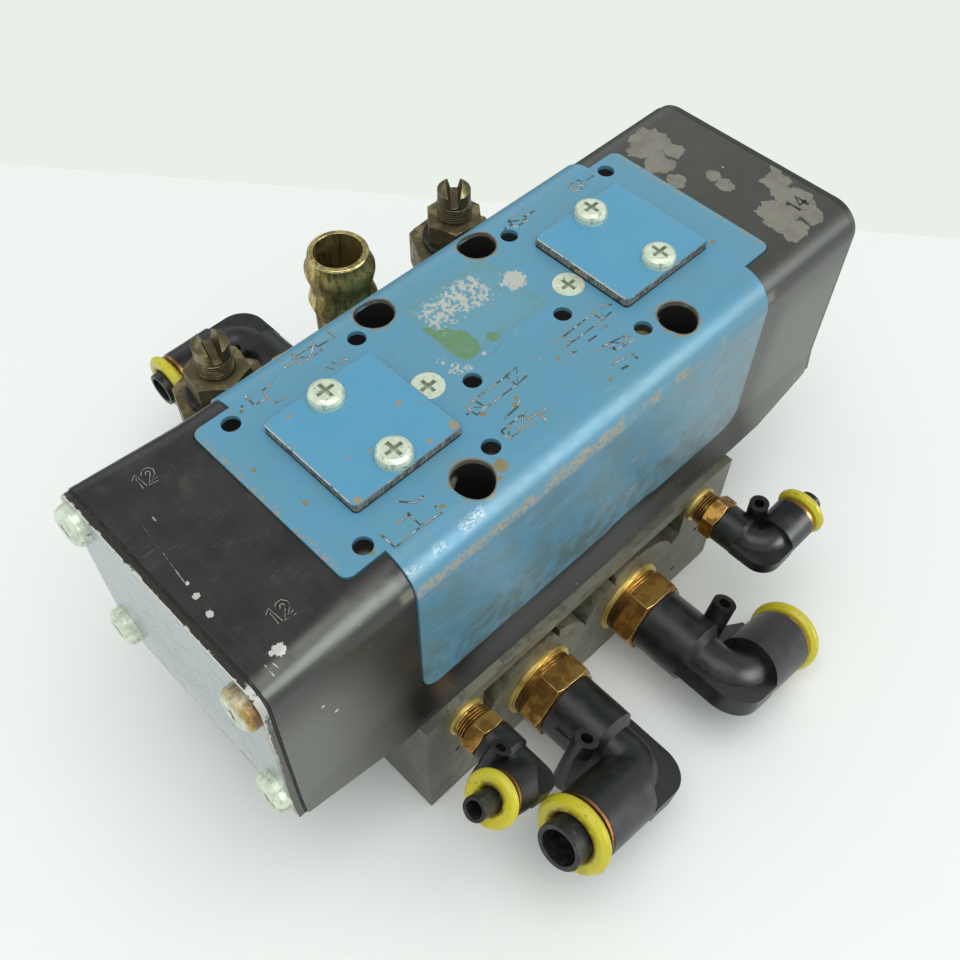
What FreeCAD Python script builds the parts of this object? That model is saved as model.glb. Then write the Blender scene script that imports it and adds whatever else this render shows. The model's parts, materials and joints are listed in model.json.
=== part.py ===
import FreeCAD, Part
import math
import os
from FreeCAD import Vector

# An air-piloted spool valve on a side-ported sub-base.
# Millimetres. X runs along the valve, +Y is the rear, +Z is up.
# The origin is on the floor, under the middle of the valve's four fixing holes.

# Valve body, one casting
BODY_LENGTH = 181.0
BODY_HALF_WIDTH = 32.8
BODY_FOOT_Z = 46.4
BODY_TOP_Z = 103.2
BODY_EDGE_R = 8.4
NEAR_END_EDGE_R = 5.0
FAR_END_EDGE_R = 8.0
FOOT_HALF_WIDTH_MIDDLE = 36.5
FOOT_HALF_WIDTH_SHOULDER = 36.0
FOOT_HALF_WIDTH_END = 33.5
FOOT_FLARE_HEIGHT = 7.4
SPOOL_AXIS_Z = 73.7
BODY_BORE_R = 15.0
BODY_BORE_HALF_LENGTH = 58.0
CHAMBER_R = 20.0

# Blue cover, a folded saddle of painted sheet
COVER_SHEET = 1.1
COVER_PROUD = 0.5
COVER_TONGUE_X = 65.6
COVER_TONGUE_HALF_WIDTH = 24.4
COVER_SIDE_X = 55.7
COVER_SIDE_DROP = 49.2
COVER_LOWER_CORNER_R = 5.5
COVER_TONGUE_CORNER_R = 2.2
COVER_GAP = 0.3
COVER_ARCH_X = 14.0
COVER_ARCH_LENGTH = 12.0
COVER_ARCH_RISE = 1.0
COVER_ARCH_RAMP = 3.0

# Fixing holes through cover and body, for the screws into the sub-base
FIXING_HOLE_R = 4.5
FIXING_COVER_CLEARANCE = 0.2
FRONT_FIXING_X = 32.0
REAR_FIXING_X = 16.0
FIXING_Y = 24.0
FIXING_TAP_R = 3.4
FIXING_TAP_DEPTH = 14.0

# Small holes in the cover and in the body under it
SMALL_HOLE_R = 2.15
SMALL_HOLE_DEPTH = 5.0
SMALL_CORNER_X = 23.8
SMALL_CORNER_Y = 20.85
SMALL_END_X = 58.1
SMALL_END_Y = 20.7
SMALL_MIDDLE_X = 14.1
SMALL_MIDDLE_Y = -5.5

# Countersunk screws that hold the cover
COVER_SCREW_X = 21.9
COVER_SCREW_HEAD_R = 3.75
COVER_SCREW_HEAD_HEIGHT = 1.75
COVER_SCREW_SHANK_R = 2.0
COVER_SCREW_LENGTH = 8.0

# Square blanking plates over the pilot faces
PLATE_X = 40.0
PLATE_SIDE = 29.0
PLATE_THICKNESS = 2.1
PLATE_CORNER_R = 1.2
PLATE_GASKET = 0.4
PLATE_SCREW_X = 40.7
PLATE_SCREW_Y = 10.5
PLATE_SCREW_HEAD_R = 4.0
PLATE_SCREW_HEAD_HEIGHT = 2.6
PLATE_SCREW_SHANK_R = 2.0
PLATE_SCREW_LENGTH = 9.0

# End plates and their screws
END_PLATE = 1.6
END_GASKET = 0.5
END_PLATE_INSET = 0.3
END_SCREW_INSET = 5.3
END_SCREW_TOP_DROP = 7.2
END_SCREW_BOTTOM_RISE = 7.4
END_SCREW_HEAD_R = 4.9
END_SCREW_HEAD_HEIGHT = 3.2
END_SCREW_SHANK_R = 2.5
END_SCREW_LENGTH = 14.0
FLUSH_RIM = 0.2
FAR_SCREW_HEAD_R = 4.2
FAR_SCREW_HEAD_HEIGHT = 1.5

# Cross recesses of the screws
RECESS_WIDTH = 1.0
RECESS_DEPTH = 1.3
RECESS_SPAN = 0.55

# Clearances
SCREW_CLEARANCE = 0.3
SCREW_HOLE_SPARE = 1.0
RUNNING_CLEARANCE = 0.04
SEAT_CLEARANCE = 0.1
THREAD_CLEARANCE = 0.03

# Spool, sleeve and pistons
PORT_PITCH = 16.0
PORT_WINDOW = 5.0
SLEEVE_BORE_R = 8.0
SLEEVE_RECESS_DEPTH = 2.5
SLEEVE_RECESS_WIDTH = 7.0
SLEEVE_SEAL_WIDTH = 1.8
SPOOL_STROKE = 9.0
SPOOL_LAND = 4.0
SPOOL_WAIST_R = 4.5
STROKE_STOP_GAP = 0.5
PISTON_THICKNESS = 8.0
PISTON_SEAL_WIDTH = 2.0
PISTON_SEAL_DEPTH = 1.6

# Passages between valve body and sub-base
PASSAGE_LENGTH = 10.0
PASSAGE_WIDTH = 9.0
FRONT_PASSAGE_Y = -11.5
REAR_PASSAGE_Y = 10.0
PASSAGE_RISE = 20.0
PILOT_Y = -8.0
PILOT_R = 1.8
PILOT_RISE = 11.0

# Sub-base, one casting
BASE_SHIFT_X = -4.6
BASE_LENGTH = 111.8
BASE_FRONT_Y = -38.4
BASE_REAR_Y = 67.5
BASE_REAR_CORNER_R = 6.0
BASE_EDGE_CHAMFER = 0.6
BASE_FLANGE = 4.2
BASE_POCKET_DEPTH = 6.0
BASE_POCKET_HALF_WIDTH = 37.6
BASE_POCKET_SLANT = 5.0
BASE_POCKET_FLOOR_Z = 25.5
BASE_BOSS_R = 18.5
BASE_PIT_WIDTH = 4.0
BASE_PIT_DROP = 8.5
BASE_PIT_DEPTH = 11.0
BASE_PIT_OFFSET = 7.0
BASE_GASKET = 1.0
BASE_GASKET_HALF_LENGTH = 49.5
BASE_GASKET_HALF_WIDTH = 31.0
BASE_BOLT_SPACING_X = 90.0
BASE_BOLT_SPACING_Y = 80.0
BASE_BOLT_R = 2.5
BASE_BOLT_DEPTH = 9.0
FACE_HOLE_R = 0.9
FACE_HOLE_DEPTH = 3.0
FACE_HOLE_UPPER_INSET = 9.6
FACE_HOLE_UPPER_Z = 22.6
FACE_HOLE_LOWER_INSET = 16.4
FACE_HOLE_LOWER_Z = 9.4

# Ports of the sub-base
LARGE_PORT_X = 17.65
LARGE_PORT_Z = 20.3
LARGE_PORT_R = 9.3
LARGE_PORT_DEPTH = 12.0
SMALL_PORT_INSET = 12.2
SMALL_PORT_Z = 38.2
SMALL_PORT_R = 4.4
SMALL_PORT_DEPTH = 8.0
REAR_PORT_Y = 51.0
REAR_PORT_R = 8.0
REAR_PORT_DEPTH = 13.0
EXHAUST_PORT_INSET = 16.95
REAR_ELBOW_X = -11.4
REAR_ELBOW_Z = 37.0
REAR_ELBOW_PORT_R = 6.5
REAR_ELBOW_PORT_DEPTH = 8.0
GALLERY_HEIGHT = 11.0
GALLERY_FRONT_LIMIT = 16.0

# Lift of each elbow's arm above the horizontal, in degrees
NEAR_LARGE_LIFT = 22.0
FAR_LARGE_LIFT = -21.0
NEAR_SMALL_LIFT = 37.0
FAR_SMALL_LIFT = 2.0
REAR_LIFT = -1.0

# Turn of each elbow's hexagon from its arm, in degrees
NEAR_LARGE_HEX_TURN = 8.5
FAR_LARGE_HEX_TURN = 15.0
NEAR_SMALL_HEX_TURN = 23.0
FAR_SMALL_HEX_TURN = 25.0
REAR_ELBOW_HEX_TURN = 12.0

# What all the elbows share
LARGE_TUBE_R = 6.0
COLLAR_TRAVEL = 0.8
COLLAR_GAP = 0.15
COLLAR_SKIRT = 0.75
COLLAR_SKIRT_LENGTH = 4.5
COLLAR_ROUNDING = 0.32
COLLAR_MOUTH = 0.8
SLEEVE_LIP = 0.9
SLEEVE_WALL = 0.8
SLEEVE_LENGTH = 7.0
SOCKET_DEPTH = 15.0
JOURNAL_SHARE = 0.62
PASSAGE_SHARE = 0.6
RING_THICKNESS = 0.9
HEX_CHAMFER = 0.9
THREAD_LEAD = 0.6
HEX_ROOT = 0.5
BARREL_SHOULDER = 0.7
WEB_MARGIN = 4.0
WEB_PROUD = 0.9
EYELET_HOLE_SHARE = 0.5
LIP_INSET = 0.15
NECK_STEP = 1.3
SWIVEL_GAP = 0.25

# Hose barb
BARB_MOUTH_Z = 97.2
BARB_R = 7.6
BARB_BORE_R = 6.1
BARB_BEAD_R = 8.8
BARB_BEAD_LENGTH = 9.5
BARB_HEX_AF = 22.0
BARB_HEX_HEIGHT = 8.0
BARB_LIP = 0.4
BARB_FIRST_BEAD_DROP = 5.2
BARB_BEAD_LAND = 0.6
BARB_BEAD_SLOPE = 3.5
BARB_BEAD_RISE = 4.5
BARB_VALLEY_R = 7.8

# Exhaust regulators
REGULATOR_HEX_TOP_Z = 76.7
REGULATOR_HEX_AF = 22.0
REGULATOR_HEX_HEIGHT = 11.0
REGULATOR_NECK_R = 8.8
REGULATOR_RING_STEP = 1.6
REGULATOR_RING_HEIGHT = 3.0
REGULATOR_BORE_CAP = 2.0
REGULATOR_BORE_R = 6.0
REGULATOR_VENT_R = 2.0
REGULATOR_WASHER_R = 8.7
REGULATOR_WASHER = 2.0
WASHER_EDGE = 0.5
LOCK_NUT_AF = 14.0
LOCK_NUT_HEIGHT = 6.5
NEEDLE_R = 4.4
NEEDLE_TOP_Z = 95.7
NEEDLE_REACH = 18.0
NEEDLE_TIP_R = 1.0
NEEDLE_TIP_LENGTH = 4.6
NEEDLE_SLOT_DEPTH = 5.0
NEEDLE_SLOT_WIDTH = 1.8
NEEDLE_SLOT_MOUTH = 4.8
NEEDLE_TOP_CHAMFER = 2.0
NEAR_HEX_TURN = 11.0
FAR_HEX_TURN = 4.0
NEAR_NUT_TURN = 20.0
FAR_NUT_TURN = 50.0
NEAR_SLOT_TURN = -18.0
FAR_SLOT_TURN = -43.0

BODY_END_X = BODY_LENGTH / 2
COVER_TOP_Z = BODY_TOP_Z + COVER_PROUD
SHOULDER_X = COVER_TONGUE_X
BASE_TOP_Z = BODY_FOOT_Z
PLATE_FACE_X = BODY_END_X + END_GASKET + END_PLATE
PORT_PASSAGES = (
    (-PORT_PITCH, FRONT_PASSAGE_Y),
    (PORT_PITCH, FRONT_PASSAGE_Y),
    (-2 * PORT_PITCH, REAR_PASSAGE_Y),
    (0.0, REAR_PASSAGE_Y),
    (2 * PORT_PITCH, REAR_PASSAGE_Y),
)
FIXING_POINTS = (
    (-FRONT_FIXING_X, -FIXING_Y),
    (FRONT_FIXING_X, -FIXING_Y),
    (-REAR_FIXING_X, FIXING_Y),
    (REAR_FIXING_X, FIXING_Y),
)
SMALL_HOLE_POINTS = (
    (-SMALL_CORNER_X, -SMALL_CORNER_Y),
    (SMALL_CORNER_X, -SMALL_CORNER_Y),
    (-SMALL_CORNER_X, SMALL_CORNER_Y),
    (SMALL_CORNER_X, SMALL_CORNER_Y),
    (-SMALL_END_X, -SMALL_END_Y),
    (-SMALL_END_X, SMALL_END_Y),
    (SMALL_END_X, SMALL_END_Y),
    (-SMALL_MIDDLE_X, SMALL_MIDDLE_Y),
    (SMALL_MIDDLE_X, SMALL_MIDDLE_Y),
)
END_SCREW_Y = BODY_HALF_WIDTH - END_SCREW_INSET
SMALL_PORT_X = BASE_LENGTH / 2 - SMALL_PORT_INSET
EXHAUST_PORT_X = BASE_LENGTH / 2 - EXHAUST_PORT_INSET
SMALL_PORT_POINTS = (BASE_SHIFT_X - SMALL_PORT_X, BASE_SHIFT_X + SMALL_PORT_X)
LARGE_PORT_POINTS = (BASE_SHIFT_X - LARGE_PORT_X, BASE_SHIFT_X + LARGE_PORT_X)
EXHAUST_PORT_POINTS = (BASE_SHIFT_X - EXHAUST_PORT_X, BASE_SHIFT_X + EXHAUST_PORT_X)
X_AXIS = Vector(1, 0, 0)
Y_AXIS = Vector(0, 1, 0)
Z_AXIS = Vector(0, 0, 1)


# Shared shapes
def save(name, shape):
    shape.exportStep("parts/" + name + ".step")


def box(x0, x1, y0, y1, z0, z1):
    return Part.makeBox(x1 - x0, y1 - y0, z1 - z0, Vector(x0, y0, z0))


def upright_edges(shape):
    return [edge for edge in shape.Edges if abs(edge.tangentAt(0).z) > 0.9]


def rod(radius, length, start, direction):
    return Part.makeCylinder(radius, length, start, direction)


def turned(profile):
    """A solid turned about Z from a closed outline of (radius, height) points."""
    points = [Vector(r, 0, z) for r, z in profile]
    face = Part.Face(Part.makePolygon(points + points[:1]))
    return face.revolve(Vector(0, 0, 0), Z_AXIS, 360)


def hexagon(across_flats, bottom, height, chamfer):
    """A hexagonal prism about Z whose corners are chamfered at both ends."""
    corner_r = across_flats / math.sqrt(3)
    corners = []
    for step in range(6):
        angle = math.radians(60 * step)
        corners.append(Vector(corner_r * math.cos(angle), corner_r * math.sin(angle), bottom))
    prism = Part.Face(Part.makePolygon(corners + corners[:1])).extrude(Vector(0, 0, height))
    top = bottom + height
    drum = turned([(0, bottom), (corner_r - chamfer, bottom), (corner_r, bottom + chamfer / 2),
                   (corner_r, top - chamfer / 2), (corner_r - chamfer, top), (0, top)])
    return prism.common(drum)


def placed(shape, origin, x_direction, z_direction):
    """The shape with its own X and Z axes laid along the given directions."""
    y_direction = z_direction.cross(x_direction)
    matrix = FreeCAD.Matrix(
        x_direction.x, y_direction.x, z_direction.x, origin.x,
        x_direction.y, y_direction.y, z_direction.y, origin.y,
        x_direction.z, y_direction.z, z_direction.z, origin.z,
        0, 0, 0, 1)
    moved = shape.copy()
    moved.Placement = FreeCAD.Placement(matrix).multiply(shape.Placement)
    return moved


def cross_recess(head_r, top, depth):
    """Two crossed slots sunk into a screw head."""
    reach = head_r * RECESS_SPAN
    half = RECESS_WIDTH / 2
    first = box(-reach, reach, -half, half, top - depth, top + 1)
    second = box(-half, half, -reach, reach, top - depth, top + 1)
    return first.fuse(second)


def pan_screw(head_r, head_height, shank_r, length):
    """A pan-head screw about Z, its head standing on z = 0."""
    screw = turned([(0, -length), (shank_r, -length), (shank_r, 0), (head_r, 0), (head_r, head_height * 0.5),
                    (head_r * 0.93, head_height * 0.78), (head_r * 0.7, head_height), (0, head_height)])
    return screw.cut(cross_recess(head_r, head_height, RECESS_DEPTH))


def flush_screw(head_r, head_height, shank_r, length):
    """A countersunk screw about Z, its flat top at z = 0."""
    screw = turned([(0, 0), (head_r, 0), (head_r, -FLUSH_RIM), (shank_r, -head_height),
                    (shank_r, -length), (0, -length)])
    return screw.cut(cross_recess(head_r, 0, RECESS_DEPTH))


# Valve body and cover
def saddle_wire(x, half_width, top, edge_r, foot_half_width, foot_z, flare_top):
    """Outline across the valve: flat top, rounded edges, upright sides and a flared foot."""
    turn = edge_r * (1 - math.sqrt(0.5))
    foot_left = Vector(x, -foot_half_width, foot_z)
    side_left = Vector(x, -half_width, flare_top)
    low_left = Vector(x, -half_width, top - edge_r)
    mid_left = Vector(x, -half_width + turn, top - turn)
    top_left = Vector(x, -half_width + edge_r, top)
    top_right = Vector(x, half_width - edge_r, top)
    mid_right = Vector(x, half_width - turn, top - turn)
    low_right = Vector(x, half_width, top - edge_r)
    side_right = Vector(x, half_width, flare_top)
    foot_right = Vector(x, foot_half_width, foot_z)
    return Part.Wire([
        Part.LineSegment(foot_left, side_left).toShape(),
        Part.LineSegment(side_left, low_left).toShape(),
        Part.Arc(low_left, mid_left, top_left).toShape(),
        Part.LineSegment(top_left, top_right).toShape(),
        Part.Arc(top_right, mid_right, low_right).toShape(),
        Part.LineSegment(low_right, side_right).toShape(),
        Part.LineSegment(side_right, foot_right).toShape(),
        Part.LineSegment(foot_right, foot_left).toShape(),
    ])


def body_outline(x, edge_r, foot_half_width):
    flare_top = BODY_FOOT_Z + FOOT_FLARE_HEIGHT
    return saddle_wire(x, BODY_HALF_WIDTH, BODY_TOP_Z, edge_r, foot_half_width, BODY_FOOT_Z, flare_top)


def cover_profile(spare):
    """The cover's cross-section, a folded sheet of even thickness, as a prism."""
    foot = COVER_TOP_Z - COVER_SIDE_DROP - spare
    outer_half = BODY_HALF_WIDTH + COVER_PROUD
    outer_r = BODY_EDGE_R + COVER_PROUD
    start = -COVER_TONGUE_X - spare
    outer = saddle_wire(start, outer_half, COVER_TOP_Z, outer_r, outer_half, foot, foot + 1)
    inner = saddle_wire(start, outer_half - COVER_SHEET, COVER_TOP_Z - COVER_SHEET,
                        outer_r - COVER_SHEET, outer_half - COVER_SHEET, foot - 1, foot + 1)
    run = Vector(-2 * start, 0, 0)
    return Part.Face(outer).extrude(run).cut(Part.Face(inner).extrude(run))


def cover_side_outline(spare):
    """Side view of the cover's middle, with its two lower corners rounded, as a prism."""
    foot = COVER_TOP_Z - COVER_SIDE_DROP - spare
    half = COVER_SIDE_X + spare
    radius = COVER_LOWER_CORNER_R + spare
    turn = radius * (1 - math.sqrt(0.5))
    y = -BODY_HALF_WIDTH - COVER_PROUD - 1
    top = COVER_TOP_Z + 1
    corner_left = (Vector(-half, y, foot + radius), Vector(-half + turn, y, foot + turn),
                   Vector(-half + radius, y, foot))
    corner_right = (Vector(half - radius, y, foot), Vector(half - turn, y, foot + turn),
                    Vector(half, y, foot + radius))
    wire = Part.Wire([
        Part.Arc(*corner_left).toShape(),
        Part.LineSegment(corner_left[2], corner_right[0]).toShape(),
        Part.Arc(*corner_right).toShape(),
        Part.LineSegment(corner_right[2], Vector(half, y, top)).toShape(),
        Part.LineSegment(Vector(half, y, top), Vector(-half, y, top)).toShape(),
        Part.LineSegment(Vector(-half, y, top), corner_left[0]).toShape(),
    ])
    return Part.Face(wire).extrude(Vector(0, -2 * y, 0))


def cover_blank(spare):
    """The folded sheet of the cover, its outline let out by spare for the recess it sits in."""
    sheet = cover_profile(spare)
    length = COVER_TONGUE_X + spare
    width = COVER_TONGUE_HALF_WIDTH + spare
    plan = box(-length, length, -width, width, BODY_FOOT_Z, COVER_TOP_Z + 1)
    plan = plan.makeFillet(COVER_TONGUE_CORNER_R + spare, upright_edges(plan))
    saddle = sheet.common(cover_side_outline(spare))
    return saddle.fuse(sheet.common(plan)).removeSplitter()


def cover_arch():
    """The shallow arch in the front lower edge of the cover."""
    foot = COVER_TOP_Z - COVER_SIDE_DROP
    half = COVER_ARCH_LENGTH / 2
    y = -BODY_HALF_WIDTH - COVER_PROUD - 1
    outline = [
        Vector(COVER_ARCH_X - half - COVER_ARCH_RAMP, y, foot - 1),
        Vector(COVER_ARCH_X - half - COVER_ARCH_RAMP, y, foot),
        Vector(COVER_ARCH_X - half, y, foot + COVER_ARCH_RISE),
        Vector(COVER_ARCH_X + half, y, foot + COVER_ARCH_RISE),
        Vector(COVER_ARCH_X + half + COVER_ARCH_RAMP, y, foot),
        Vector(COVER_ARCH_X + half + COVER_ARCH_RAMP, y, foot - 1),
    ]
    return Part.Face(Part.makePolygon(outline + outline[:1])).extrude(Vector(0, COVER_SHEET + 1.5, 0))


def plate_screw_points():
    return [(side * PLATE_SCREW_X, end * PLATE_SCREW_Y) for side in (-1, 1) for end in (-1, 1)]


def top_cover():
    cover = cover_blank(0).cut(cover_arch())
    reach = 2 * COVER_SHEET
    under = COVER_TOP_Z - reach
    cuts = []
    for x, y in FIXING_POINTS:
        cuts.append(rod(FIXING_HOLE_R + FIXING_COVER_CLEARANCE, 2 * reach, Vector(x, y, under), Z_AXIS))
    for x, y in SMALL_HOLE_POINTS:
        cuts.append(rod(SMALL_HOLE_R, 2 * reach, Vector(x, y, under), Z_AXIS))
    for x, y in plate_screw_points():
        cuts.append(rod(PLATE_SCREW_SHANK_R + SCREW_CLEARANCE, 2 * reach, Vector(x, y, under), Z_AXIS))
    for x in (-COVER_SCREW_X, COVER_SCREW_X):
        cuts.append(cover_screw_seat(x))
    return cover.cut(Part.makeCompound(cuts))


def countersink(head_r, head_height, shank_r, depth):
    """What a flush screw needs cut away: a seat for its head and a hole, about Z with its top at z = 0."""
    spare = SEAT_CLEARANCE / 2
    hole_r = shank_r + THREAD_CLEARANCE
    return turned([(0, 1), (head_r + spare, 1), (head_r + spare, -FLUSH_RIM - spare),
                   (hole_r, -head_height - spare), (hole_r, -depth), (0, -depth)])


def cover_screw_seat(x):
    depth = COVER_SCREW_LENGTH + SCREW_HOLE_SPARE
    seat = countersink(COVER_SCREW_HEAD_R, COVER_SCREW_HEAD_HEIGHT, COVER_SCREW_SHANK_R, depth)
    seat.translate(Vector(x, 0, COVER_TOP_Z))
    return seat


def cover_screws():
    screw = flush_screw(COVER_SCREW_HEAD_R, COVER_SCREW_HEAD_HEIGHT, COVER_SCREW_SHANK_R, COVER_SCREW_LENGTH)
    return Part.makeCompound([placed(screw, Vector(x, 0, COVER_TOP_Z), X_AXIS, Z_AXIS)
                              for x in (-COVER_SCREW_X, COVER_SCREW_X)])


def end_screw_points():
    top = BODY_TOP_Z - END_SCREW_TOP_DROP
    bottom = BODY_FOOT_Z + END_SCREW_BOTTOM_RISE
    return [(y, z) for y in (-END_SCREW_Y, END_SCREW_Y) for z in (bottom, top)]


def body_cavities():
    """Bore, pilot chambers, passages and screw holes of the valve body."""
    cuts = [
        rod(BODY_BORE_R, 2 * BODY_BORE_HALF_LENGTH, Vector(-BODY_BORE_HALF_LENGTH, 0, SPOOL_AXIS_Z), X_AXIS),
    ]
    for side in (-1, 1):
        chamber_start = Vector(side * BODY_BORE_HALF_LENGTH, 0, SPOOL_AXIS_Z)
        chamber_length = BODY_END_X - BODY_BORE_HALF_LENGTH + 1
        cuts.append(rod(CHAMBER_R, chamber_length, chamber_start, X_AXIS * side))
    for x, y in PORT_PASSAGES:
        cuts.append(box(x - PASSAGE_LENGTH / 2, x + PASSAGE_LENGTH / 2, y - PASSAGE_WIDTH / 2,
                        y + PASSAGE_WIDTH / 2, BODY_FOOT_Z - 1, BODY_FOOT_Z + PASSAGE_RISE))
    for x in SMALL_PORT_POINTS:
        side = math.copysign(1, x)
        cuts.append(rod(PILOT_R, PILOT_RISE + 1, Vector(x, PILOT_Y, BODY_FOOT_Z - 1), Z_AXIS))
        run = BODY_BORE_HALF_LENGTH + 2 - abs(x)
        cuts.append(rod(PILOT_R, run, Vector(x, PILOT_Y, BODY_FOOT_Z + PILOT_RISE), X_AXIS * side))
    for x, y in FIXING_POINTS:
        cuts.append(rod(FIXING_HOLE_R, BODY_TOP_Z - BODY_FOOT_Z + 2, Vector(x, y, BODY_FOOT_Z - 1), Z_AXIS))
    for x, y in SMALL_HOLE_POINTS:
        start = Vector(x, y, BODY_TOP_Z - SMALL_HOLE_DEPTH)
        cuts.append(rod(SMALL_HOLE_R, SMALL_HOLE_DEPTH + 1, start, Z_AXIS))
    plate_stack = PLATE_THICKNESS + PLATE_GASKET
    for x, y in plate_screw_points():
        bottom = COVER_TOP_Z + plate_stack - PLATE_SCREW_LENGTH - SCREW_HOLE_SPARE
        cuts.append(rod(PLATE_SCREW_SHANK_R + THREAD_CLEARANCE, BODY_TOP_Z - bottom + 1,
                        Vector(x, y, bottom), Z_AXIS))
    for x in (-COVER_SCREW_X, COVER_SCREW_X):
        cuts.append(cover_screw_seat(x))
    for side in (-1, 1):
        depth = END_SCREW_LENGTH - END_PLATE - END_GASKET + SCREW_HOLE_SPARE
        for y, z in end_screw_points():
            start = Vector(side * (BODY_END_X + 1), y, z)
            cuts.append(rod(END_SCREW_SHANK_R + THREAD_CLEARANCE, depth + 1, start, X_AXIS * -side))
    return cuts


def valve_body():
    sections = [
        body_outline(-BODY_END_X, NEAR_END_EDGE_R, FOOT_HALF_WIDTH_END),
        body_outline(-SHOULDER_X, BODY_EDGE_R, FOOT_HALF_WIDTH_SHOULDER),
        body_outline(0, BODY_EDGE_R, FOOT_HALF_WIDTH_MIDDLE),
        body_outline(SHOULDER_X, BODY_EDGE_R, FOOT_HALF_WIDTH_SHOULDER),
        body_outline(BODY_END_X, FAR_END_EDGE_R, FOOT_HALF_WIDTH_END),
    ]
    casting = Part.makeLoft(sections, True, True)
    casting = casting.cut(cover_blank(COVER_GAP))
    for cavity in body_cavities():
        casting = casting.cut(cavity)
    return casting


# Blanking plates, end plates and gaskets
def square_plate(x, side, corner_r, bottom, thickness, hole_r):
    half = side / 2
    plate = box(x - half, x + half, -half, half, bottom, bottom + thickness)
    plate = plate.makeFillet(corner_r, upright_edges(plate))
    for hole_x, hole_y in plate_screw_points():
        if abs(hole_x - x) < half:
            plate = plate.cut(rod(hole_r, thickness + 2, Vector(hole_x, hole_y, bottom - 1), Z_AXIS))
    return plate


def plate_screws():
    screw = pan_screw(PLATE_SCREW_HEAD_R, PLATE_SCREW_HEAD_HEIGHT, PLATE_SCREW_SHANK_R, PLATE_SCREW_LENGTH)
    seat = COVER_TOP_Z + PLATE_GASKET + PLATE_THICKNESS
    return Part.makeCompound([placed(screw, Vector(x, y, seat), X_AXIS, Z_AXIS)
                              for x, y in plate_screw_points()])


def end_sheet(side, start, thickness, edge_r, chamber_open):
    """A plate or gasket with the outline of the body's end."""
    inset = END_PLATE_INSET
    x = side * start
    outline = saddle_wire(x, BODY_HALF_WIDTH - inset, BODY_TOP_Z - inset, edge_r - inset,
                          FOOT_HALF_WIDTH_END - inset, BODY_FOOT_Z + inset, BODY_FOOT_Z + FOOT_FLARE_HEIGHT)
    sheet = Part.Face(outline).extrude(X_AXIS * (side * thickness))
    for y, z in end_screw_points():
        hole_start = Vector(x - side, y, z)
        sheet = sheet.cut(rod(END_SCREW_SHANK_R + SCREW_CLEARANCE, thickness + 2, hole_start, X_AXIS * side))
    if chamber_open:
        opening_start = Vector(x - side, 0, SPOOL_AXIS_Z)
        sheet = sheet.cut(rod(CHAMBER_R, thickness + 2, opening_start, X_AXIS * side))
    return sheet


def at_end_screws(shape, side):
    """Copies of a shape made about Z, one at each end screw, z = 0 on the plate's outer face."""
    return [placed(shape, Vector(side * PLATE_FACE_X, y, z), Y_AXIS, X_AXIS * side)
            for y, z in end_screw_points()]


def far_end_plate():
    """The far plate is countersunk, so its screws lie flush."""
    plate = end_sheet(1, BODY_END_X + END_GASKET, END_PLATE, FAR_END_EDGE_R, False)
    seat = countersink(FAR_SCREW_HEAD_R, FAR_SCREW_HEAD_HEIGHT, END_SCREW_SHANK_R, END_PLATE + 1)
    for cut in at_end_screws(seat, 1):
        plate = plate.cut(cut)
    return plate


def near_end_screws():
    screw = pan_screw(END_SCREW_HEAD_R, END_SCREW_HEAD_HEIGHT, END_SCREW_SHANK_R, END_SCREW_LENGTH)
    return Part.makeCompound(at_end_screws(screw, -1))


def far_end_screws():
    screw = flush_screw(FAR_SCREW_HEAD_R, FAR_SCREW_HEAD_HEIGHT, END_SCREW_SHANK_R, END_SCREW_LENGTH)
    return Part.makeCompound(at_end_screws(screw, 1))


# Spool, sleeve and pistons, about the X axis
def along_bore(shape, x):
    return placed(shape, Vector(x, 0, SPOOL_AXIS_Z), Y_AXIS, X_AXIS)


def sleeve_seal_places():
    return [PORT_PITCH * (step - 2.5) for step in range(6)]


def spool_sleeve():
    outer_r = BODY_BORE_R - SEAT_CLEARANCE
    half = BODY_BORE_HALF_LENGTH
    sleeve = turned([(SLEEVE_BORE_R, -half), (outer_r, -half), (outer_r, half), (SLEEVE_BORE_R, half)])
    root_r = outer_r - SLEEVE_RECESS_DEPTH
    for step in range(-2, 3):
        middle = step * PORT_PITCH
        low = middle - SLEEVE_RECESS_WIDTH / 2
        high = middle + SLEEVE_RECESS_WIDTH / 2
        recess = turned([(root_r, low), (outer_r + 1, low), (outer_r + 1, high), (root_r, high)])
        window = PORT_WINDOW / 2
        slot = box(-outer_r, outer_r, -window, window, middle - window, middle + window)
        crossed = box(-window, window, -outer_r, outer_r, middle - window, middle + window)
        sleeve = sleeve.cut(recess).cut(slot).cut(crossed)
    groove_root = BODY_BORE_R - SLEEVE_SEAL_WIDTH
    for place in sleeve_seal_places():
        low = place - SLEEVE_SEAL_WIDTH / 2 - SEAT_CLEARANCE
        high = place + SLEEVE_SEAL_WIDTH / 2 + SEAT_CLEARANCE
        groove = turned([(groove_root, low), (outer_r + 1, low), (outer_r + 1, high), (groove_root, high)])
        sleeve = sleeve.cut(groove)
    return along_bore(sleeve, 0)


def sleeve_seals():
    half = SLEEVE_SEAL_WIDTH / 2
    inner_r = BODY_BORE_R - SLEEVE_SEAL_WIDTH
    seal = turned([(inner_r, -half), (BODY_BORE_R, -half), (BODY_BORE_R, half), (inner_r, half)])
    return Part.makeCompound([along_bore(seal, place) for place in sleeve_seal_places()])


def spool_half_length():
    return BODY_BORE_HALF_LENGTH + STROKE_STOP_GAP + SPOOL_STROKE / 2


def spool_rest_x():
    return -SPOOL_STROKE / 2


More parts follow.
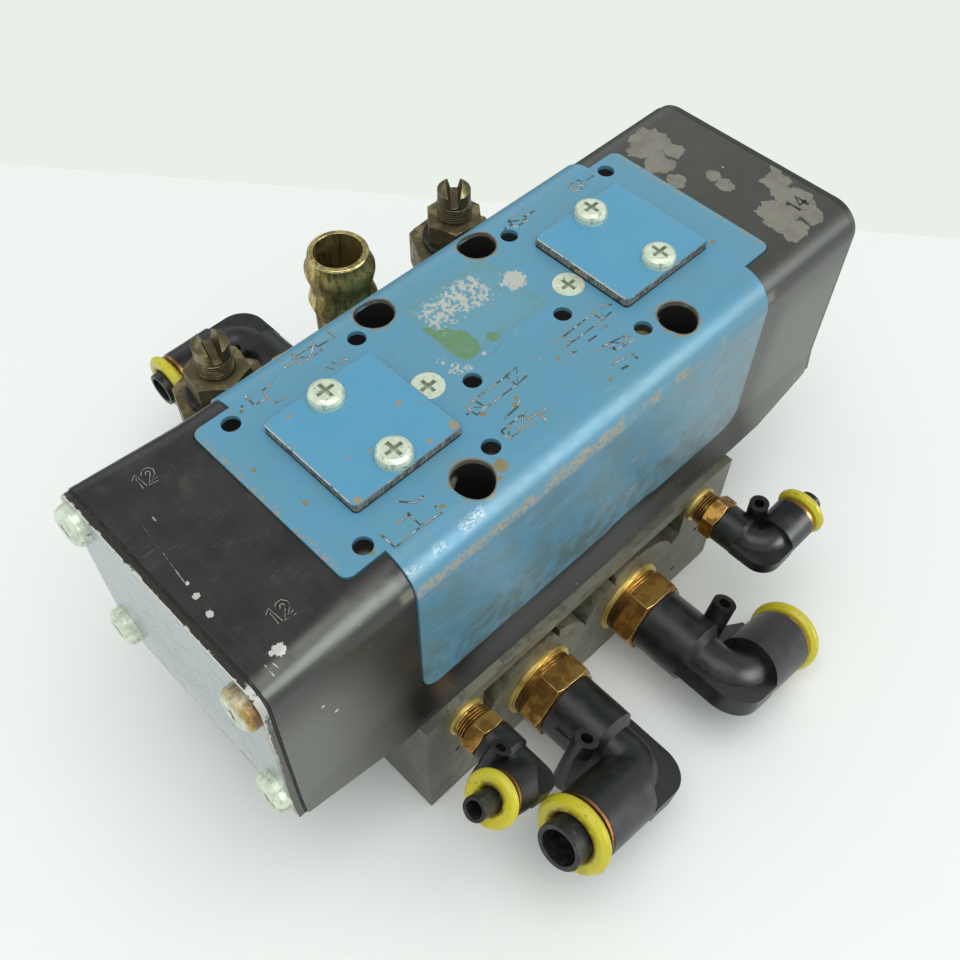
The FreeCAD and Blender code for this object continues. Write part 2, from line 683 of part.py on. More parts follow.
def spool():
    """The spool at the near end of its travel: end guides, and lands that close the port walls."""
    land_r = SLEEVE_BORE_R - RUNNING_CLEARANCE
    half = spool_half_length()
    land_place = 1.5 * PORT_PITCH - (PORT_PITCH - PORT_WINDOW) / 2
    guide_start = 2.5 * PORT_PITCH + SPOOL_STROKE / 2
    near_land = -land_place + SPOOL_STROKE / 2
    far_land = land_place - SPOOL_STROKE / 2
    profile = [(0, -half), (land_r, -half), (land_r, -guide_start), (SPOOL_WAIST_R, -guide_start)]
    for middle in (near_land - SPOOL_LAND / 2, far_land + SPOOL_LAND / 2):
        low = middle - SPOOL_LAND / 2
        high = middle + SPOOL_LAND / 2
        profile += [(SPOOL_WAIST_R, low), (land_r, low), (land_r, high), (SPOOL_WAIST_R, high)]
    profile += [(SPOOL_WAIST_R, guide_start), (land_r, guide_start), (land_r, half), (0, half)]
    return along_bore(turned(profile), spool_rest_x())


def piston(side):
    outer_r = CHAMBER_R - RUNNING_CLEARANCE
    middle = PISTON_THICKNESS / 2
    low = middle - PISTON_SEAL_WIDTH / 2
    high = middle + PISTON_SEAL_WIDTH / 2
    root_r = outer_r - PISTON_SEAL_DEPTH
    disc = turned([(0, 0), (outer_r, 0), (outer_r, low), (root_r, low), (root_r, high), (outer_r, high),
                   (outer_r, PISTON_THICKNESS), (0, PISTON_THICKNESS)])
    start = spool_rest_x() + side * spool_half_length()
    return placed(disc, Vector(start, 0, SPOOL_AXIS_Z), Y_AXIS, X_AXIS * side)


def piston_seal(side):
    outer_r = CHAMBER_R - RUNNING_CLEARANCE / 2
    low = PISTON_THICKNESS / 2 - PISTON_SEAL_WIDTH / 2
    high = low + PISTON_SEAL_WIDTH
    inner_r = CHAMBER_R - RUNNING_CLEARANCE - PISTON_SEAL_DEPTH
    ring = turned([(inner_r, low), (outer_r, low), (outer_r, high), (inner_r, high)])
    start = spool_rest_x() + side * spool_half_length()
    return placed(ring, Vector(start, 0, SPOOL_AXIS_Z), Y_AXIS, X_AXIS * side)


# Sub-base and its gasket
def front_pockets():
    """The recess under the front flange that leaves the two large port bosses standing."""
    top = BASE_TOP_Z - BASE_FLANGE
    half = BASE_POCKET_HALF_WIDTH
    y = BASE_FRONT_Y - 1
    outline = [
        Vector(BASE_SHIFT_X - half, y, top),
        Vector(BASE_SHIFT_X + half, y, top),
        Vector(BASE_SHIFT_X + half, y, LARGE_PORT_Z + BASE_BOSS_R / 2),
        Vector(BASE_SHIFT_X + half - BASE_POCKET_SLANT, y, BASE_POCKET_FLOOR_Z),
        Vector(BASE_SHIFT_X - half + BASE_POCKET_SLANT, y, BASE_POCKET_FLOOR_Z),
        Vector(BASE_SHIFT_X - half, y, LARGE_PORT_Z + BASE_BOSS_R / 2),
    ]
    recess = Part.Face(Part.makePolygon(outline + outline[:1])).extrude(Y_AXIS * (BASE_POCKET_DEPTH + 1))
    for x in LARGE_PORT_POINTS:
        boss = rod(BASE_BOSS_R, BASE_POCKET_DEPTH + 3, Vector(x, y - 1, LARGE_PORT_Z), Y_AXIS)
        recess = recess.cut(boss)
    return recess


def front_pits():
    """Two small deep cored pits beside the large bosses, right under the flange."""
    top = BASE_TOP_Z - BASE_FLANGE
    pits = []
    for x in LARGE_PORT_POINTS:
        edge = x + BASE_PIT_OFFSET * math.copysign(1, BASE_SHIFT_X - x)
        y = BASE_FRONT_Y - 1
        outline = [Vector(edge, y, top), Vector(edge, y, top - BASE_PIT_DROP),
                   Vector(edge - BASE_PIT_WIDTH, y, top)]
        pits.append(Part.Face(Part.makePolygon(outline + outline[:1])).extrude(Y_AXIS * BASE_PIT_DEPTH))
    return pits


def gasket_plate(spare, bottom, height):
    half = BASE_GASKET_HALF_LENGTH + spare
    width = BASE_GASKET_HALF_WIDTH + spare
    return box(BASE_SHIFT_X - half, BASE_SHIFT_X + half, -width, width, bottom, bottom + height)


def base_gasket():
    bottom = BASE_TOP_Z - BASE_GASKET
    gasket = gasket_plate(0, bottom, BASE_GASKET)
    for x, y in PORT_PASSAGES:
        gasket = gasket.cut(box(x - PASSAGE_LENGTH / 2, x + PASSAGE_LENGTH / 2, y - PASSAGE_WIDTH / 2,
                                y + PASSAGE_WIDTH / 2, bottom - 1, BASE_TOP_Z + 1))
    for x, y in FIXING_POINTS:
        gasket = gasket.cut(rod(FIXING_HOLE_R, BASE_GASKET + 2, Vector(x, y, bottom - 1), Z_AXIS))
    for x in SMALL_PORT_POINTS:
        gasket = gasket.cut(rod(PILOT_R, BASE_GASKET + 2, Vector(x, PILOT_Y, bottom - 1), Z_AXIS))
    return gasket


def gallery(x0, x1, y0, y1):
    low = LARGE_PORT_Z - GALLERY_HEIGHT / 2
    return box(x0, x1, y0, y1, low, low + GALLERY_HEIGHT)


def base_passages():
    """Ports and cored passages of the sub-base."""
    cuts = []
    half = PASSAGE_LENGTH / 2
    for x, y in PORT_PASSAGES:
        cuts.append(box(x - half, x + half, y - PASSAGE_WIDTH / 2, y + PASSAGE_WIDTH / 2,
                        LARGE_PORT_Z, BASE_TOP_Z + 1))
    for x in LARGE_PORT_POINTS:
        mouth = Vector(x, BASE_FRONT_Y - 1, LARGE_PORT_Z)
        cuts.append(rod(LARGE_PORT_R, LARGE_PORT_DEPTH + 1, mouth, Y_AXIS))
        run = FRONT_PASSAGE_Y - BASE_FRONT_Y + PASSAGE_WIDTH / 2
        cuts.append(rod(GALLERY_HEIGHT / 2, run, Vector(x, BASE_FRONT_Y, LARGE_PORT_Z), Y_AXIS))
    for x in SMALL_PORT_POINTS:
        mouth = Vector(x, BASE_FRONT_Y - 1, SMALL_PORT_Z)
        cuts.append(rod(SMALL_PORT_R, SMALL_PORT_DEPTH + 1, mouth, Y_AXIS))
        run = PILOT_Y - BASE_FRONT_Y + 2 * PILOT_R
        cuts.append(rod(PILOT_R, run, Vector(x, BASE_FRONT_Y, SMALL_PORT_Z), Y_AXIS))
        cuts.append(rod(PILOT_R, BASE_TOP_Z - SMALL_PORT_Z + 1, Vector(x, PILOT_Y, SMALL_PORT_Z), Z_AXIS))
    rear_reach = REAR_PORT_Y + REAR_PORT_R / 2
    passage_front = REAR_PASSAGE_Y - PASSAGE_WIDTH / 2
    for x in (BASE_SHIFT_X, *EXHAUST_PORT_POINTS):
        start = Vector(x, REAR_PORT_Y, BASE_TOP_Z - REAR_PORT_DEPTH)
        cuts.append(rod(REAR_PORT_R, REAR_PORT_DEPTH + 1, start, Z_AXIS))
        drop = BASE_TOP_Z - LARGE_PORT_Z
        cuts.append(rod(GALLERY_HEIGHT / 2, drop, Vector(x, REAR_PORT_Y, LARGE_PORT_Z), Z_AXIS))
    near_exhaust = EXHAUST_PORT_POINTS[0]
    far_exhaust = EXHAUST_PORT_POINTS[1]
    near_passage = -2 * PORT_PITCH
    far_passage = 2 * PORT_PITCH
    cuts.append(gallery(near_exhaust - half, near_passage + half, passage_front, rear_reach))
    cuts.append(gallery(far_passage - half, far_exhaust + half, passage_front, rear_reach))
    cuts.append(gallery(BASE_SHIFT_X - half, half, passage_front, rear_reach))
    elbow_y = BASE_REAR_Y - REAR_ELBOW_PORT_DEPTH
    cuts.append(rod(REAR_ELBOW_PORT_R, REAR_ELBOW_PORT_DEPTH + 1, Vector(REAR_ELBOW_X, elbow_y, REAR_ELBOW_Z),
                    Y_AXIS))
    drop_y = elbow_y + REAR_ELBOW_PORT_DEPTH / 2
    cuts.append(rod(PILOT_R, REAR_ELBOW_Z - LARGE_PORT_Z, Vector(REAR_ELBOW_X, drop_y, LARGE_PORT_Z), Z_AXIS))
    cuts.append(gallery(REAR_ELBOW_X - PILOT_R, BASE_SHIFT_X, REAR_PORT_Y, drop_y + PILOT_R))
    for x, y in FIXING_POINTS:
        start = Vector(x, y, BASE_TOP_Z - FIXING_TAP_DEPTH)
        cuts.append(rod(FIXING_TAP_R, FIXING_TAP_DEPTH + 1, start, Z_AXIS))
    return cuts


def base_bolt_points():
    middle_y = (BASE_FRONT_Y + BASE_REAR_Y) / 2
    return [(BASE_SHIFT_X + side * BASE_BOLT_SPACING_X / 2, middle_y + end * BASE_BOLT_SPACING_Y / 2)
            for side in (-1, 1) for end in (-1, 1)]


def blind_holes():
    """Four fixing holes in the foot, and two small holes at each end of the front face."""
    holes = [rod(BASE_BOLT_R, BASE_BOLT_DEPTH + 1, Vector(x, y, -1), Z_AXIS)
             for x, y in base_bolt_points()]
    face_holes = ((FACE_HOLE_UPPER_INSET, FACE_HOLE_UPPER_Z), (FACE_HOLE_LOWER_INSET, FACE_HOLE_LOWER_Z))
    for side in (-1, 1):
        for inset, z in face_holes:
            start = Vector(BASE_SHIFT_X + side * (BASE_LENGTH / 2 - inset), BASE_FRONT_Y - 1, z)
            holes.append(rod(FACE_HOLE_R, FACE_HOLE_DEPTH + 1, start, Y_AXIS))
    return holes


def sub_base():
    x0 = BASE_SHIFT_X - BASE_LENGTH / 2
    x1 = BASE_SHIFT_X + BASE_LENGTH / 2
    casting = box(x0, x1, BASE_FRONT_Y, BASE_REAR_Y, 0, BASE_TOP_Z)
    rear_edges = [edge for edge in upright_edges(casting) if edge.CenterOfMass.y > 0]
    casting = casting.makeFillet(BASE_REAR_CORNER_R, rear_edges)
    foot_edges = [edge for edge in casting.Edges if edge.CenterOfMass.z < 0.1]
    casting = casting.makeChamfer(BASE_EDGE_CHAMFER, foot_edges)
    casting = casting.cut(gasket_plate(SEAT_CLEARANCE, BASE_TOP_Z - BASE_GASKET, BASE_GASKET + 1))
    casting = casting.cut(front_pockets())
    for cut in front_pits() + blind_holes() + base_passages():
        casting = casting.cut(cut)
    return casting


# Push-in elbows, each about the Z axis of its own stud, with the arm along X
class Elbow:
    """Sizes of one elbow, measured outwards from the face of its port."""

    def __init__(self, tube_r, tube_wall, port_r, port_depth, ring_r, hex_start, hex_af, hex_end,
                 barrel_r, barrel_end, corner, bend_r, arm_r, arm_start, face, collar_r, collar_width,
                 eyelet_r, eyelet_x, eyelet_z, eyelet_low, eyelet_high, flange, stub):
        self.tube_r = tube_r
        self.tube_wall = tube_wall
        self.port_r = port_r
        self.port_depth = port_depth
        self.ring_r = ring_r
        self.hex_start = hex_start
        self.hex_af = hex_af
        self.hex_end = hex_end
        self.barrel_r = barrel_r
        self.barrel_end = barrel_end
        self.corner = corner
        self.bend_r = bend_r
        self.arm_r = arm_r
        self.arm_start = arm_start
        self.face = face
        self.collar_r = collar_r
        self.collar_width = collar_width
        self.eyelet_r = eyelet_r
        self.eyelet_x = eyelet_x
        self.eyelet_z = eyelet_z
        self.eyelet_low = eyelet_low
        self.eyelet_high = eyelet_high
        self.flange = flange
        self.stub = stub
        self.collar_back = face - collar_width
        self.sleeve_back = self.collar_back - COLLAR_TRAVEL - COLLAR_GAP
        self.arm_end = self.sleeve_back - SLEEVE_LIP
        self.journal_r = barrel_r * JOURNAL_SHARE
        self.journal_end = barrel_end - 1
        self.passage_r = tube_r * PASSAGE_SHARE
        self.skirt_r = tube_r + RUNNING_CLEARANCE + COLLAR_SKIRT
        self.sleeve_r = self.skirt_r + RUNNING_CLEARANCE + SLEEVE_WALL


LARGE_ELBOW = Elbow(
    tube_r=LARGE_TUBE_R, tube_wall=1.4, port_r=LARGE_PORT_R, port_depth=LARGE_PORT_DEPTH, ring_r=10.9,
    hex_start=3.2, hex_af=19.6, hex_end=9.8, barrel_r=9.0, barrel_end=24.0, corner=35.8,
    bend_r=6.4, arm_r=9.0, arm_start=7.6, face=30.0, collar_r=10.2, collar_width=3.4,
    eyelet_r=3.2, eyelet_x=8.9, eyelet_z=21.9, eyelet_low=-5.6, eyelet_high=11.9, flange=5.0, stub=4.2)


def small_elbow(face, eyelet_x, stub):
    """The two small elbows differ only in the length of their arms."""
    return Elbow(
        tube_r=3.0, tube_wall=1.0, port_r=SMALL_PORT_R, port_depth=SMALL_PORT_DEPTH, ring_r=5.2,
        hex_start=4.3, hex_af=10.8, hex_end=8.5, barrel_r=5.6, barrel_end=14.8, corner=20.8,
        bend_r=4.4, arm_r=6.0, arm_start=5.4, face=face, collar_r=6.9, collar_width=2.7,
        eyelet_r=2.6, eyelet_x=eyelet_x, eyelet_z=13.5, eyelet_low=-4.9, eyelet_high=7.0, flange=3.6,
        stub=stub)


NEAR_SMALL_ELBOW = small_elbow(face=16.5, eyelet_x=6.0, stub=5.5)
FAR_SMALL_ELBOW = small_elbow(face=18.6, eyelet_x=6.8, stub=3.4)
REAR_ELBOW = Elbow(
    tube_r=5.0, tube_wall=1.25, port_r=REAR_ELBOW_PORT_R, port_depth=REAR_ELBOW_PORT_DEPTH, ring_r=8.6,
    hex_start=3.0, hex_af=17.0, hex_end=8.6, barrel_r=7.9, barrel_end=20.0, corner=28.7,
    bend_r=5.6, arm_r=8.0, arm_start=8.0, face=27.2, collar_r=9.1, collar_width=2.9,
    eyelet_r=2.8, eyelet_x=8.2, eyelet_z=18.0, eyelet_low=-4.8, eyelet_high=10.0, flange=4.4, stub=2.2)


def elbow_stud(elbow, hex_turn):
    """The brass stud: thread in the port, sealing ring, hexagon and the journal the elbow turns on."""
    thread_r = elbow.port_r - THREAD_CLEARANCE
    neck_r = min(elbow.ring_r - NECK_STEP, elbow.hex_af / 2)
    bore_r = elbow.passage_r
    shoulder = elbow.hex_start + HEX_ROOT
    stud = turned([
        (bore_r, -elbow.port_depth), (thread_r - THREAD_LEAD, -elbow.port_depth),
        (thread_r, THREAD_LEAD - elbow.port_depth),
        (thread_r, 0), (elbow.ring_r, 0), (elbow.ring_r, RING_THICKNESS), (neck_r, RING_THICKNESS),
        (neck_r, shoulder), (elbow.journal_r, shoulder),
        (elbow.journal_r, elbow.journal_end), (bore_r, elbow.journal_end)])
    nut = hexagon(elbow.hex_af, elbow.hex_start, elbow.hex_end - elbow.hex_start, HEX_CHAMFER)
    nut.rotate(Vector(0, 0, 0), Z_AXIS, hex_turn)
    bore = rod(bore_r, elbow.hex_end, Vector(0, 0, 0), Z_AXIS)
    return stud.fuse(nut.cut(bore)).removeSplitter()


def elbow_flange(elbow):
    """The flat web that squares off the outside of the bend."""
    outer_x = -elbow.barrel_r
    outer_z = elbow.corner + elbow.arm_r
    radius = elbow.barrel_r
    turn = radius * (1 - math.sqrt(0.5))
    y = -elbow.flange / 2
    low = Vector(outer_x, y, elbow.barrel_end)
    arc_start = Vector(outer_x, y, outer_z - radius)
    arc_middle = Vector(outer_x + turn, y, outer_z - turn)
    arc_end = Vector(outer_x + radius, y, outer_z)
    far = Vector(elbow.arm_start, y, outer_z)
    inner = Vector(elbow.arm_start, y, elbow.corner)
    inner_low = Vector(0, y, elbow.barrel_end)
    wire = Part.Wire([
        Part.LineSegment(low, arc_start).toShape(),
        Part.Arc(arc_start, arc_middle, arc_end).toShape(),
        Part.LineSegment(arc_end, far).toShape(),
        Part.LineSegment(far, inner).toShape(),
        Part.LineSegment(inner, inner_low).toShape(),
        Part.LineSegment(inner_low, low).toShape(),
    ])
    return Part.Face(wire).extrude(Y_AXIS * elbow.flange)


def elbow_gusset(elbow):
    """The thin web from the barrel through the eyelet to the arm."""
    y = -elbow.flange / 5
    eye_x = elbow.eyelet_x
    eye_z = elbow.eyelet_z
    low = elbow.hex_end + WEB_MARGIN
    outline = [
        Vector(0, y, low),
        Vector(elbow.barrel_r + WEB_PROUD, y, low),
        Vector(eye_x, y, eye_z - elbow.eyelet_r / 2),
        Vector(eye_x + elbow.eyelet_r / 2, y, eye_z),
        Vector(elbow.arm_end - WEB_MARGIN, y, elbow.corner - elbow.arm_r - WEB_PROUD),
        Vector(elbow.arm_end - WEB_MARGIN, y, elbow.corner),
        Vector(0, y, elbow.corner),
    ]
    return Part.Face(Part.makePolygon(outline + outline[:1])).extrude(Y_AXIS * (-2 * y))


def elbow_body(elbow):
    """The moulded elbow: stud barrel, bend, tube barrel, webs and the fixing eyelet."""
    start = elbow.hex_end + SWIVEL_GAP
    bend_step = (elbow.barrel_r - elbow.bend_r) * BARREL_SHOULDER
    barrel = turned([(0, start), (elbow.barrel_r, start), (elbow.barrel_r, elbow.barrel_end),
                     (elbow.bend_r, elbow.barrel_end + bend_step), (0, elbow.barrel_end + bend_step)])
    centre = Vector(elbow.bend_r, 0, elbow.corner - elbow.bend_r)
    section = Part.Face(Part.Wire(Part.makeCircle(elbow.bend_r, Vector(0, 0, centre.z), Z_AXIS)))
    bend = section.revolve(centre, Y_AXIS, 90)
    riser = rod(elbow.bend_r, centre.z - start, Vector(0, 0, start), Z_AXIS)
    link = rod(elbow.bend_r, elbow.arm_start - elbow.bend_r + 1, Vector(centre.x, 0, elbow.corner), X_AXIS)
    arm = rod(elbow.arm_r, elbow.arm_end - elbow.arm_start, Vector(elbow.arm_start, 0, elbow.corner), X_AXIS)
    eye_length = elbow.eyelet_high - elbow.eyelet_low
    eye_start = Vector(elbow.eyelet_x, elbow.eyelet_low, elbow.eyelet_z)
    eyelet = rod(elbow.eyelet_r, eye_length, eye_start, Y_AXIS)
    solid = barrel.fuse([bend, riser, link, arm, elbow_flange(elbow), elbow_gusset(elbow), eyelet])
    eye_hole = rod(elbow.eyelet_r * EYELET_HOLE_SHARE, eye_length + 2, eye_start - Y_AXIS, Y_AXIS)
    bore_r = elbow.journal_r + RUNNING_CLEARANCE
    journal_bore = rod(bore_r, elbow.journal_end + SWIVEL_GAP, Vector(0, 0, 0), Z_AXIS)
    passage = rod(elbow.passage_r, elbow.corner, Vector(0, 0, 0), Z_AXIS)
    arm_passage = rod(elbow.passage_r, elbow.arm_end, Vector(0, 0, elbow.corner), X_AXIS)
    socket_start = Vector(elbow.arm_end - SOCKET_DEPTH * elbow.tube_r / LARGE_TUBE_R, 0, elbow.corner)
    socket = rod(elbow.tube_r + SEAT_CLEARANCE / 2, SOCKET_DEPTH + 1, socket_start, X_AXIS)
    seat_start = Vector(elbow.arm_end - SLEEVE_LENGTH, 0, elbow.corner)
    seat = rod(elbow.sleeve_r + SEAT_CLEARANCE / 2, SLEEVE_LENGTH + 1, seat_start, X_AXIS)
    for cut in (eye_hole, journal_bore, passage, arm_passage, socket, seat):
        solid = solid.cut(cut)
    return solid.removeSplitter()


def along_arm(shape, elbow):
    """Turns a shape made about Z so that it lies along the elbow's arm."""
    return placed(shape, Vector(0, 0, elbow.corner), Y_AXIS, X_AXIS)


def grip_sleeve(elbow):
    """The metal sleeve in the tube barrel's mouth, with the lip that shows as a copper line."""
    inner_r = elbow.skirt_r + RUNNING_CLEARANCE
    back = elbow.arm_end - SLEEVE_LENGTH
    lip_r = elbow.arm_r - LIP_INSET
    sleeve = turned([(inner_r, back), (elbow.sleeve_r, back), (elbow.sleeve_r, elbow.arm_end),
                     (lip_r, elbow.arm_end), (lip_r, elbow.sleeve_back), (inner_r, elbow.sleeve_back)])
    return along_arm(sleeve, elbow)


def release_collar(elbow):
    """The yellow collar: a rounded ring with a skirt that reaches into the grip."""
    inner_r = elbow.tube_r + RUNNING_CLEARANCE
    outer_r = elbow.collar_r
    back = elbow.collar_back
    front = elbow.face
    skirt_end = back - COLLAR_SKIRT_LENGTH
    corner = elbow.collar_width * COLLAR_ROUNDING
    collar = turned([
        (inner_r, skirt_end), (elbow.skirt_r, skirt_end), (elbow.skirt_r, back), (outer_r - corner, back),
        (outer_r, back + corner), (outer_r, front - corner), (outer_r - corner, front),
        (inner_r + COLLAR_MOUTH, front), (inner_r, front - COLLAR_MOUTH)])
    return along_arm(collar, elbow)


def tube_stub(elbow):
    """The cut-off end of an air line that is still held in the elbow."""
    start = elbow.arm_end - SOCKET_DEPTH * elbow.tube_r / LARGE_TUBE_R
    end = elbow.face + elbow.stub
    inner_r = elbow.tube_r - elbow.tube_wall
    tube = turned([(inner_r, start), (elbow.tube_r, start), (elbow.tube_r, end), (inner_r, end)])
    return along_arm(tube, elbow)


def save_elbow(name, elbow, origin, outward, arm, hex_turn, has_stub):
    save(name + "_stud", placed(elbow_stud(elbow, hex_turn), origin, arm, outward))
    save(name + "_body", placed(elbow_body(elbow), origin, arm, outward))
    save(name + "_grip_sleeve", placed(grip_sleeve(elbow), origin, arm, outward))
    save(name + "_collar", placed(release_collar(elbow), origin, arm, outward))
    if has_stub:
        save(name + "_tube_stub", placed(tube_stub(elbow), origin, arm, outward))


def arm_direction(side, lift):
    angle = math.radians(lift)
    return Vector(side * math.cos(angle), 0, math.sin(angle))


def save_elbows():
    front = -Y_AXIS
    near_large = Vector(LARGE_PORT_POINTS[0], BASE_FRONT_Y, LARGE_PORT_Z)
    far_large = Vector(LARGE_PORT_POINTS[1], BASE_FRONT_Y, LARGE_PORT_Z)
    near_small = Vector(SMALL_PORT_POINTS[0], BASE_FRONT_Y, SMALL_PORT_Z)
    far_small = Vector(SMALL_PORT_POINTS[1], BASE_FRONT_Y, SMALL_PORT_Z)
    rear = Vector(REAR_ELBOW_X, BASE_REAR_Y, REAR_ELBOW_Z)
    near_arm = arm_direction(-1, NEAR_LARGE_LIFT)
    far_arm = arm_direction(1, FAR_LARGE_LIFT)
    save_elbow("near_large_elbow", LARGE_ELBOW, near_large, front, near_arm, NEAR_LARGE_HEX_TURN, True)
    save_elbow("far_large_elbow", LARGE_ELBOW, far_large, front, far_arm, FAR_LARGE_HEX_TURN, False)
    near_arm = arm_direction(-1, NEAR_SMALL_LIFT)
    far_arm = arm_direction(1, FAR_SMALL_LIFT)
    save_elbow("near_small_elbow", NEAR_SMALL_ELBOW, near_small, front, near_arm, NEAR_SMALL_HEX_TURN, True)
    save_elbow("far_small_elbow", FAR_SMALL_ELBOW, far_small, front, far_arm, FAR_SMALL_HEX_TURN, True)
    rear_arm = arm_direction(-1, REAR_LIFT)
    save_elbow("rear_elbow", REAR_ELBOW, rear, Y_AXIS, rear_arm, REAR_ELBOW_HEX_TURN, True)


# Hose barb and exhaust regulators, each about its own upright axis
def hose_barb():
    thread_r = REAR_PORT_R - THREAD_CLEARANCE
    bottom = BASE_TOP_Z - REAR_PORT_DEPTH + 1
    hex_top = BASE_TOP_Z + BARB_HEX_HEIGHT
    mouth = BARB_MOUTH_Z
    first_bead = mouth - BARB_FIRST_BEAD_DROP
    second_bead = first_bead - BARB_BEAD_LENGTH
    body = turned([
        (BARB_BORE_R, bottom), (thread_r, bottom), (thread_r, BASE_TOP_Z), (BARB_R, BASE_TOP_Z),
        (BARB_R, second_bead - BARB_BEAD_RISE), (BARB_BEAD_R, second_bead),
        (BARB_VALLEY_R, second_bead + BARB_BEAD_SLOPE), (BARB_VALLEY_R, first_bead - BARB_BEAD_RISE),
        (BARB_BEAD_R, first_bead - BARB_BEAD_LAND), (BARB_BEAD_R, first_bead + BARB_BEAD_LAND),
        (BARB_R, first_bead + BARB_BEAD_SLOPE), (BARB_R, mouth - BARB_LIP), (BARB_R - BARB_LIP, mouth),
        (BARB_BORE_R, mouth)])
    nut = hexagon(BARB_HEX_AF, BASE_TOP_Z, BARB_HEX_HEIGHT, HEX_CHAMFER)
    bore = rod(BARB_BORE_R, hex_top - bottom, Vector(0, 0, bottom), Z_AXIS)
    barb = body.fuse(nut.cut(bore)).removeSplitter()
    barb.translate(Vector(BASE_SHIFT_X, REAR_PORT_Y, 0))
    return barb


def regulator_body():
    thread_r = REAR_PORT_R - THREAD_CLEARANCE
    bottom = BASE_TOP_Z - REAR_PORT_DEPTH + 1
    top = REGULATOR_HEX_TOP_Z
    hex_bottom = top - REGULATOR_HEX_HEIGHT
    ring_r = REGULATOR_NECK_R + REGULATOR_RING_STEP
    ring_top = BASE_TOP_Z + REGULATOR_RING_HEIGHT
    core = turned([(0, bottom), (thread_r, bottom), (thread_r, BASE_TOP_Z), (ring_r, BASE_TOP_Z),
                   (ring_r, ring_top), (REGULATOR_NECK_R, ring_top),
                   (REGULATOR_NECK_R, hex_bottom), (0, hex_bottom)])
    body = core.fuse(hexagon(REGULATOR_HEX_AF, hex_bottom, REGULATOR_HEX_HEIGHT, HEX_CHAMFER))
    flow_top = hex_bottom - REGULATOR_BORE_CAP
    body = body.cut(rod(REGULATOR_BORE_R, flow_top - bottom + 1, Vector(0, 0, bottom - 1), Z_AXIS))
    body = body.cut(rod(NEEDLE_R + RUNNING_CLEARANCE, top - flow_top + 2, Vector(0, 0, flow_top - 1), Z_AXIS))
    vent_z = (ring_top + flow_top) / 2
    reach = REGULATOR_NECK_R + 2
    body = body.cut(rod(REGULATOR_VENT_R, 2 * reach, Vector(-reach, 0, vent_z), X_AXIS))
    return body.cut(rod(REGULATOR_VENT_R, 2 * reach, Vector(0, -reach, vent_z), Y_AXIS))


def regulator_washer():
    top = REGULATOR_HEX_TOP_Z + REGULATOR_WASHER
    inner_r = NEEDLE_R + SCREW_CLEARANCE
    edge = WASHER_EDGE
    return turned([(inner_r, REGULATOR_HEX_TOP_Z), (REGULATOR_WASHER_R - edge, REGULATOR_HEX_TOP_Z),
                   (REGULATOR_WASHER_R, REGULATOR_HEX_TOP_Z + edge), (REGULATOR_WASHER_R, top - edge),
                   (REGULATOR_WASHER_R - edge, top), (inner_r, top)])


def lock_nut():
    bottom = REGULATOR_HEX_TOP_Z + REGULATOR_WASHER
    nut = hexagon(LOCK_NUT_AF, bottom, LOCK_NUT_HEIGHT, HEX_CHAMFER)
    return nut.cut(rod(NEEDLE_R + RUNNING_CLEARANCE, LOCK_NUT_HEIGHT + 2, Vector(0, 0, bottom - 1), Z_AXIS))


def needle():
    """The metering needle: a pointed stem whose top is cut by a flared slot into two ears."""
    low = REGULATOR_HEX_TOP_Z - NEEDLE_REACH
    top = NEEDLE_TOP_Z
    stem = turned([(0, low), (NEEDLE_TIP_R, low), (NEEDLE_R, low + NEEDLE_TIP_LENGTH),
                   (NEEDLE_R, top - NEEDLE_TOP_CHAMFER), (NEEDLE_R - NEEDLE_TOP_CHAMFER, top), (0, top)])
    floor = top - NEEDLE_SLOT_DEPTH
    start = -NEEDLE_R - 1
    corners = [Vector(-NEEDLE_SLOT_WIDTH / 2, start, floor), Vector(NEEDLE_SLOT_WIDTH / 2, start, floor),
               Vector(NEEDLE_SLOT_MOUTH / 2, start, top + 1), Vector(-NEEDLE_SLOT_MOUTH / 2, start, top + 1)]
    slot = Part.Face(Part.makePolygon(corners + corners[:1])).extrude(Vector(0, -2 * start, 0))
    return stem.cut(slot)


def save_regulator(name, x, hex_turn, nut_turn, slot_turn):
    for piece, shape, angle in (
            ("body", regulator_body(), hex_turn),
            ("washer", regulator_washer(), 0),
            ("lock_nut", lock_nut(), nut_turn),
            ("needle", needle(), slot_turn)):
        turn = math.radians(angle)
        direction = Vector(math.cos(turn), math.sin(turn), 0)
        save(name + "_" + piece, placed(shape, Vector(x, REAR_PORT_Y, 0), direction, Z_AXIS))


